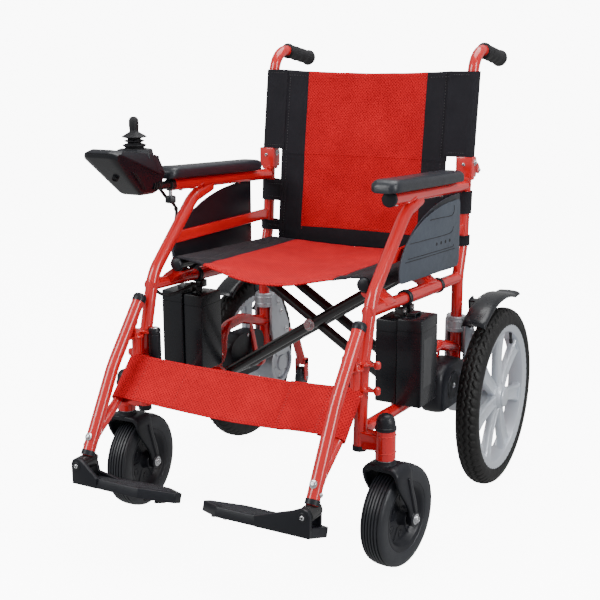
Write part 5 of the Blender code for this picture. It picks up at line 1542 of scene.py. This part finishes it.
def back():
    across = spread((0.0, 0.005), (0.144, 0.0015), (0.150, 0.004), (0.193, 0.0015), (0.199, 0.003),
                    (0.2055, 0.003))
    xs = [-x for x in reversed(across[1:])] + across
    # Upper panel, with its top edge a little low in the middle.
    rows = []
    heights = spread((0.7235, 0.0025), (0.732, 0.005), (0.898, 0.0022), (0.9105, 0.0016), (0.9145, 0.0016))
    for z in heights:
        row = []
        for x in xs:
            u = abs(x) / 0.2055
            dip = 0.0065 * (1 - u * u) * smooth((z - 0.86) / 0.055)
            zz = z - dip + 0.0006 * ripple(x, z, 40, 2.0) * smooth((z - 0.89) / 0.02)
            row.append(Vector((x, back_y(x, zz) + 0.0014 * smooth((z - 0.9105) / 0.004), zz)))
        rows.append(row)

    def colour(i, j):
        return 0 if abs((xs[j] + xs[j + 1]) / 2) < 0.147 else 1

    def behind(x, z, off=0.0017):
        return (x, back_y(x, z) - off, z)

    lines = []
    for d in (-1, 1):
        lines.append((2, [behind(d * 0.1445, z) for z in heights[1:-2:3]]))
        lines.append((3, [behind(d * 0.1930, z) for z in heights[1:-2:3]]))
    top = []
    for x in np.linspace(-0.200, 0.200, 90):
        u = abs(x) / 0.2055
        z = 0.9035 - 0.0065 * (1 - u * u) * smooth((0.9035 - 0.86) / 0.055)
        top.append((x, back_y(x, z) - 0.0017, z))
    lines.append((2, [p for p in top if abs(p[0]) < 0.145]))
    lines += [(3, [p for p in top if p[0] > 0.149]), (3, [p for p in top if p[0] < -0.149])]
    upper = cloth("back_cloth_top", rows, [MESH, OXFORD, RED_THREAD, THREAD], colour, 0.0028, lines,
                  body="back_right", cad="back_cloth_upper")
    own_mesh(upper)

    # Lower panel, with the black band along its foot and a lip that stays behind the upper one.
    heights = spread((0.5160, 0.0016), (0.5225, 0.003), (0.5535, 0.0015), (0.5575, 0.005), (0.7165, 0.0018),
                     (0.7222, 0.001))
    rows = []
    for z in heights:
        row = []
        for x in xs:
            u = abs(x) / 0.2055
            rise = 0.0040 * (1 - u * u) * smooth((0.60 - z) / 0.06)
            row.append(Vector((x, back_y(x, z + rise) + 0.0012 * smooth((0.5205 - z) / 0.004), z + rise)))
        rows.append(row)
    edge = rows[-1]
    lip = ((0.0010, 0.0014), (0.0025, 0.0030), (0.0060, 0.0042), (0.0110, 0.0054))
    rows += [[p + Vector((0, sink, lift)) for p in edge] for lift, sink in lip]

    def low_colour(i, j):
        return 1 if i + 1 < len(heights) and (heights[i] + heights[i + 1]) / 2 < 0.5555 else colour(i, j)

    lines = []
    for d in (-1, 1):
        lines.append((2, [behind(d * 0.1445, z) for z in heights[12::3]]))
        lines.append((3, [behind(d * 0.1930, z) for z in heights[3::3]]))
    low_line = [(x, back_y(x, 0.5590 + 0.0036 * (1 - (x / 0.2055) ** 2)) - 0.0017,
                 0.5590 + 0.0036 * (1 - (x / 0.2055) ** 2))
                for x in np.linspace(-0.143, 0.143, 60)]
    lines.append((2, low_line))
    lower = cloth("back_cloth_low", rows, [MESH, OXFORD, RED_THREAD, THREAD], low_colour, 0.0028, lines,
                  body="frame_right", cad="back_cloth_lower")
    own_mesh(lower)

    # Sleeves round the canes and loops round the posts.
    def loop(name, s, heights, centre_y, panel_y, size, inner, body):
        rows = []
        for z in heights:
            yc, yp = centre_y(z), panel_y(z)
            pull = 0.0016 * ripple(z, 0.3 * s, 26.0, 4.4)
            points = [(inner, yp - 0.0026), ((inner + 0.222) / 2, (yp + yc - size) / 2 - 0.0014 + pull),
                      (0.232, yc - size + 0.0001)]
            points += [(X + size * math.cos(math.radians(a)), yc + size * math.sin(math.radians(a)))
                       for a in range(-90, 91, 12)]
            points += [(0.232, yc + size * 0.75 + pull), ((inner + 0.222) / 2 + 0.004, (yp + yc) / 2 + 0.004),
                       (inner, yp + 0.0026)]
            rows.append(curved([(s * a, b, z) for a, b in points], 0.0036))
        count = min(len(row) for row in rows)
        rows = [resampled(row, count) for row in rows]
        lines = []
        for k in (3, len(heights) - 4):
            front = [p + Vector((0, -0.0018, 0)) for p in rows[k][2:count // 3]]
            lines.append((1, front))
        made = cloth(name, rows, [OXFORD, THREAD], lambda i, j: 0, 0.0026, lines, body=body)
        span = sum((b - a).length for a, b in zip(rows[0], rows[0][1:]))

    def post(z):
        return 0.291 + (z - 0.545) / 0.157 * 0.010

    for s, side in SIDES.items():
        loop(f"back_sleeve_{side}", s, spread((0.7335, 0.0025), (0.742, 0.006), (0.905, 0.0025),
                                              (0.9145, 0.0025)),
             cane_y, lambda z: back_y(0.200, z), 0.0150, 0.1995, f"back_{side}")
        loop(f"back_loop_mid_{side}", s, spread((0.612, 0.003), (0.660, 0.003)), post,
             lambda z: back_y(0.195, z), 0.0151, 0.1900, f"frame_{side}")
        loop(f"back_loop_low_{side}", s, spread((0.5420, 0.003), (0.5640, 0.003)),
             lambda z: min(post(z), 0.2905), lambda z: back_y(0.195, z), 0.0153, 0.1900, f"frame_{side}")


def resampled(path, count):
    """The same polyline with this many points, evenly spaced."""
    runs = [0.0]
    for a, b in zip(path, path[1:]):
        runs.append(runs[-1] + (b - a).length)
    found = []
    k = 0
    for i in range(count):
        goal = runs[-1] * i / (count - 1)
        while k < len(path) - 2 and runs[k + 1] < goal:
            k += 1
        t = (goal - runs[k]) / max(1e-9, runs[k + 1] - runs[k])
        found.append(path[k].lerp(path[k + 1], min(1.0, t)))
    return found


def strap():
    """The strap behind the calves, round the rear tube of each hanger, parting where its ends overlap."""
    top, foot = Vector((0, -0.240, 0.352)), Vector((0, -0.312, 0.278))
    run = (foot - top).normalized()
    out = Vector((0, run.z, -run.y))
    long = 0.0985

    def at(x, t, lift):
        u = min(1.0, abs(x) / 0.236)
        slack = (1 - u * u)
        edge = (2 * t / long - 1)
        lift += -0.0075 * slack + slack * (0.0020 * ripple(x, t, 16.0, 7.7) + 0.0008 * ripple(x, t, 45.0, 3.3))
        slide = 0.0035 * slack + 0.0016 * edge * slack * math.cos(x * 11)
        return Vector((x, 0, 0)) + top + run * (t + slide - 0.002) + out * lift

    def section(s, t, from_x, lift=0.0):
        """From the split to the outer side and round the tube on side s."""
        line = [at(x, t, 0.0128 + lift) for x in spread((from_x, 0.005), (0.236, 0.005))] if s == 1 else \
            [at(-x, t, 0.0128 + lift) for x in spread((from_x, 0.005), (0.236, 0.005))]
        for a in range(80, -91, -14):
            c, q = math.cos(math.radians(a)), math.sin(math.radians(a))
            line.append(Vector((s * (X + 0.0122 * c), 0, 0)) + top + run * (t - 0.002) + out * (0.0122 * q))
        for x, q in ((0.238, -0.0118), (0.228, -0.0060), (0.216, 0.0030), (0.206, 0.0078)):
            line.append(Vector((s * x, 0, 0)) + top + run * (t - 0.002) + out * q)
        return line

    stations = spread((0.0, 0.0018), (0.006, 0.004), (long - 0.006, 0.0018), (long, 0.002))
    main, end = [], []
    for t in stations:
        right = section(-1, t, 0.0)
        across = [at(x, t, 0.0128) for x in spread((0.005, 0.005), (0.138, 0.004))]
        main.append(list(reversed(right)) + across)
        end.append(section(1, t, 0.1180, 0.0031))

    def row_line(x, lift, first=0.004):
        return [at(x, t, lift) for t in np.linspace(first, long - 0.004, 24)]

    lines = [(1, row_line(-0.203, 0.0146)), (1, row_line(-0.206, 0.0146)), (1, row_line(-0.112, 0.0146))]
    for t in (0.0055, long - 0.0055):
        lines.append((1, [at(x, t, 0.0146) for x in np.linspace(-0.228, 0.112, 90)]))
    piece = cloth("calf_strap_cloth", main, [MESH, RED_THREAD], lambda i, j: 0, 0.0026, lines,
                  body="hanger_right", cad="calf_strap")
    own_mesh(piece)
    lines = [(1, row_line(0.1215, 0.0178)), (1, row_line(0.1245, 0.0178)), (1, row_line(0.203, 0.0176)),
             (1, row_line(0.206, 0.0176))]
    for t in (0.0055, long - 0.0055):
        lines.append((1, [at(x, t, 0.0177) for x in np.linspace(0.121, 0.228, 34)]))
    piece = cloth("calf_strap_overlap", end, [MESH, RED_THREAD], lambda i, j: 0, 0.0026, lines,
                  body="hanger_left", cad="calf_strap_end")
    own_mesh(piece)


# Camera, floor and light.


GLOW = 9.0  # the paper's own light, seen by the camera only
FILL = 0.50  # the light from all round
BACKDROP_R, BACKDROP_H = 8.5, 14.0


def studio():
    camera = bpy.data.objects.new("camera", bpy.data.cameras.new("camera"))
    bpy.context.scene.collection.objects.link(camera)
    camera.data.lens = 65.6
    camera.data.sensor_width = 36.0
    camera.location = (1.0812, -1.9916, 0.9728)
    gaze = Vector((0, -0.038, 0.450)) - camera.location
    turn = gaze.to_track_quat("-Z", "Y").to_matrix() @ Matrix.Rotation(math.radians(-0.21), 3, "Z")
    camera.rotation_euler = turn.to_euler()
    bpy.context.scene.camera = camera

    bm = new()
    rings = []
    for y, z in ((-9, 0), (5.0, 0), (6.2, 0.15), (7.0, 0.6), (7.4, 1.4), (7.5, 2.6), (7.5, 9.0)):
        rings.append([bm.verts.new((x, y, z)) for x in (-12, 12)])
    for low, high in zip(rings, rings[1:]):
        bm.faces.new((low[0], low[1], high[1], high[0])).smooth = True
    bmesh.ops.translate(bm, vec=-SHIFT, verts=bm.verts)
    paper = bpy.data.materials.new("studio_paper")
    paper.use_nodes = True
    tree = paper.node_tree
    shader = tree.nodes["Principled BSDF"]
    cloud = node(tree, "TexNoise", Scale=1.2, Detail=3.0)
    tree.links.new(node(tree, "TexCoord").outputs["Object"], cloud.inputs["Vector"])
    tint = mixed(tree, cloud.outputs["Fac"], (0.90, 0.90, 0.90), (0.93, 0.93, 0.93))
    tree.links.new(tint, shader.inputs["Base Color"])
    shader.inputs["Roughness"].default_value = 0.9
    shader.inputs["Emission Color"].default_value = (1, 1, 1, 1)
    shader.inputs["Emission Strength"].default_value = GLOW
    floor = put("studio_floor", bm, paper, None)
    floor.location.z = -0.0005
    floor.visible_diffuse = False
    floor.visible_glossy = False

    # The same paper all round, seen by the camera only.
    bm = new()
    bmesh.ops.create_cone(bm, cap_ends=False, segments=96, radius1=BACKDROP_R, radius2=BACKDROP_R,
                          depth=BACKDROP_H,
                          matrix=Matrix.Translation((0, 0, BACKDROP_H / 2 - 0.01)))
    wall = put("studio_wall", bm, paper, None)
    wall.visible_diffuse = False
    wall.visible_glossy = False
    wall.visible_shadow = False

    world = bpy.data.worlds.new("studio")
    bpy.context.scene.world = world
    world.use_nodes = True
    world.node_tree.nodes["Background"].inputs["Color"].default_value = (1, 1, 1, 1)
    world.node_tree.nodes["Background"].inputs["Strength"].default_value = FILL
    for name, place, aim, size, power in (
            ("key", (-1.6, -2.6, 2.6), (0, 0, 0.5), (1.3, 2.0), 82),
            ("side", (2.8, -0.6, 1.7), (0, 0, 0.5), (0.7, 2.4), 66),
            ("top", (0.2, 0.6, 3.0), (0, 0, 0.4), (2.0, 2.0), 66)):
        lamp = bpy.data.objects.new(name, bpy.data.lights.new(name, "AREA"))
        bpy.context.scene.collection.objects.link(lamp)
        lamp.data.shape = "RECTANGLE"
        lamp.data.size, lamp.data.size_y = size
        lamp.data.energy = power
        lamp.location = place
        lamp.rotation_euler = (Vector(aim) - Vector(place)).to_track_quat("-Z", "Y").to_euler()


studio()
for s in SIDES:
    side_frame(s)
    side_panel(s)
    back_and_grip(s)
    castor(s)
    drive(s)
    battery(s)
    hanger(s)
brace(-1, "cross_brace_tubes_a", "brace_a", 0.0520, 0.1460)
brace(1, "cross_brace_tubes_b", "brace_b", 0.0760, 0.1700)
brace_centre()
controller()
cable()
seat()
back()
strap()
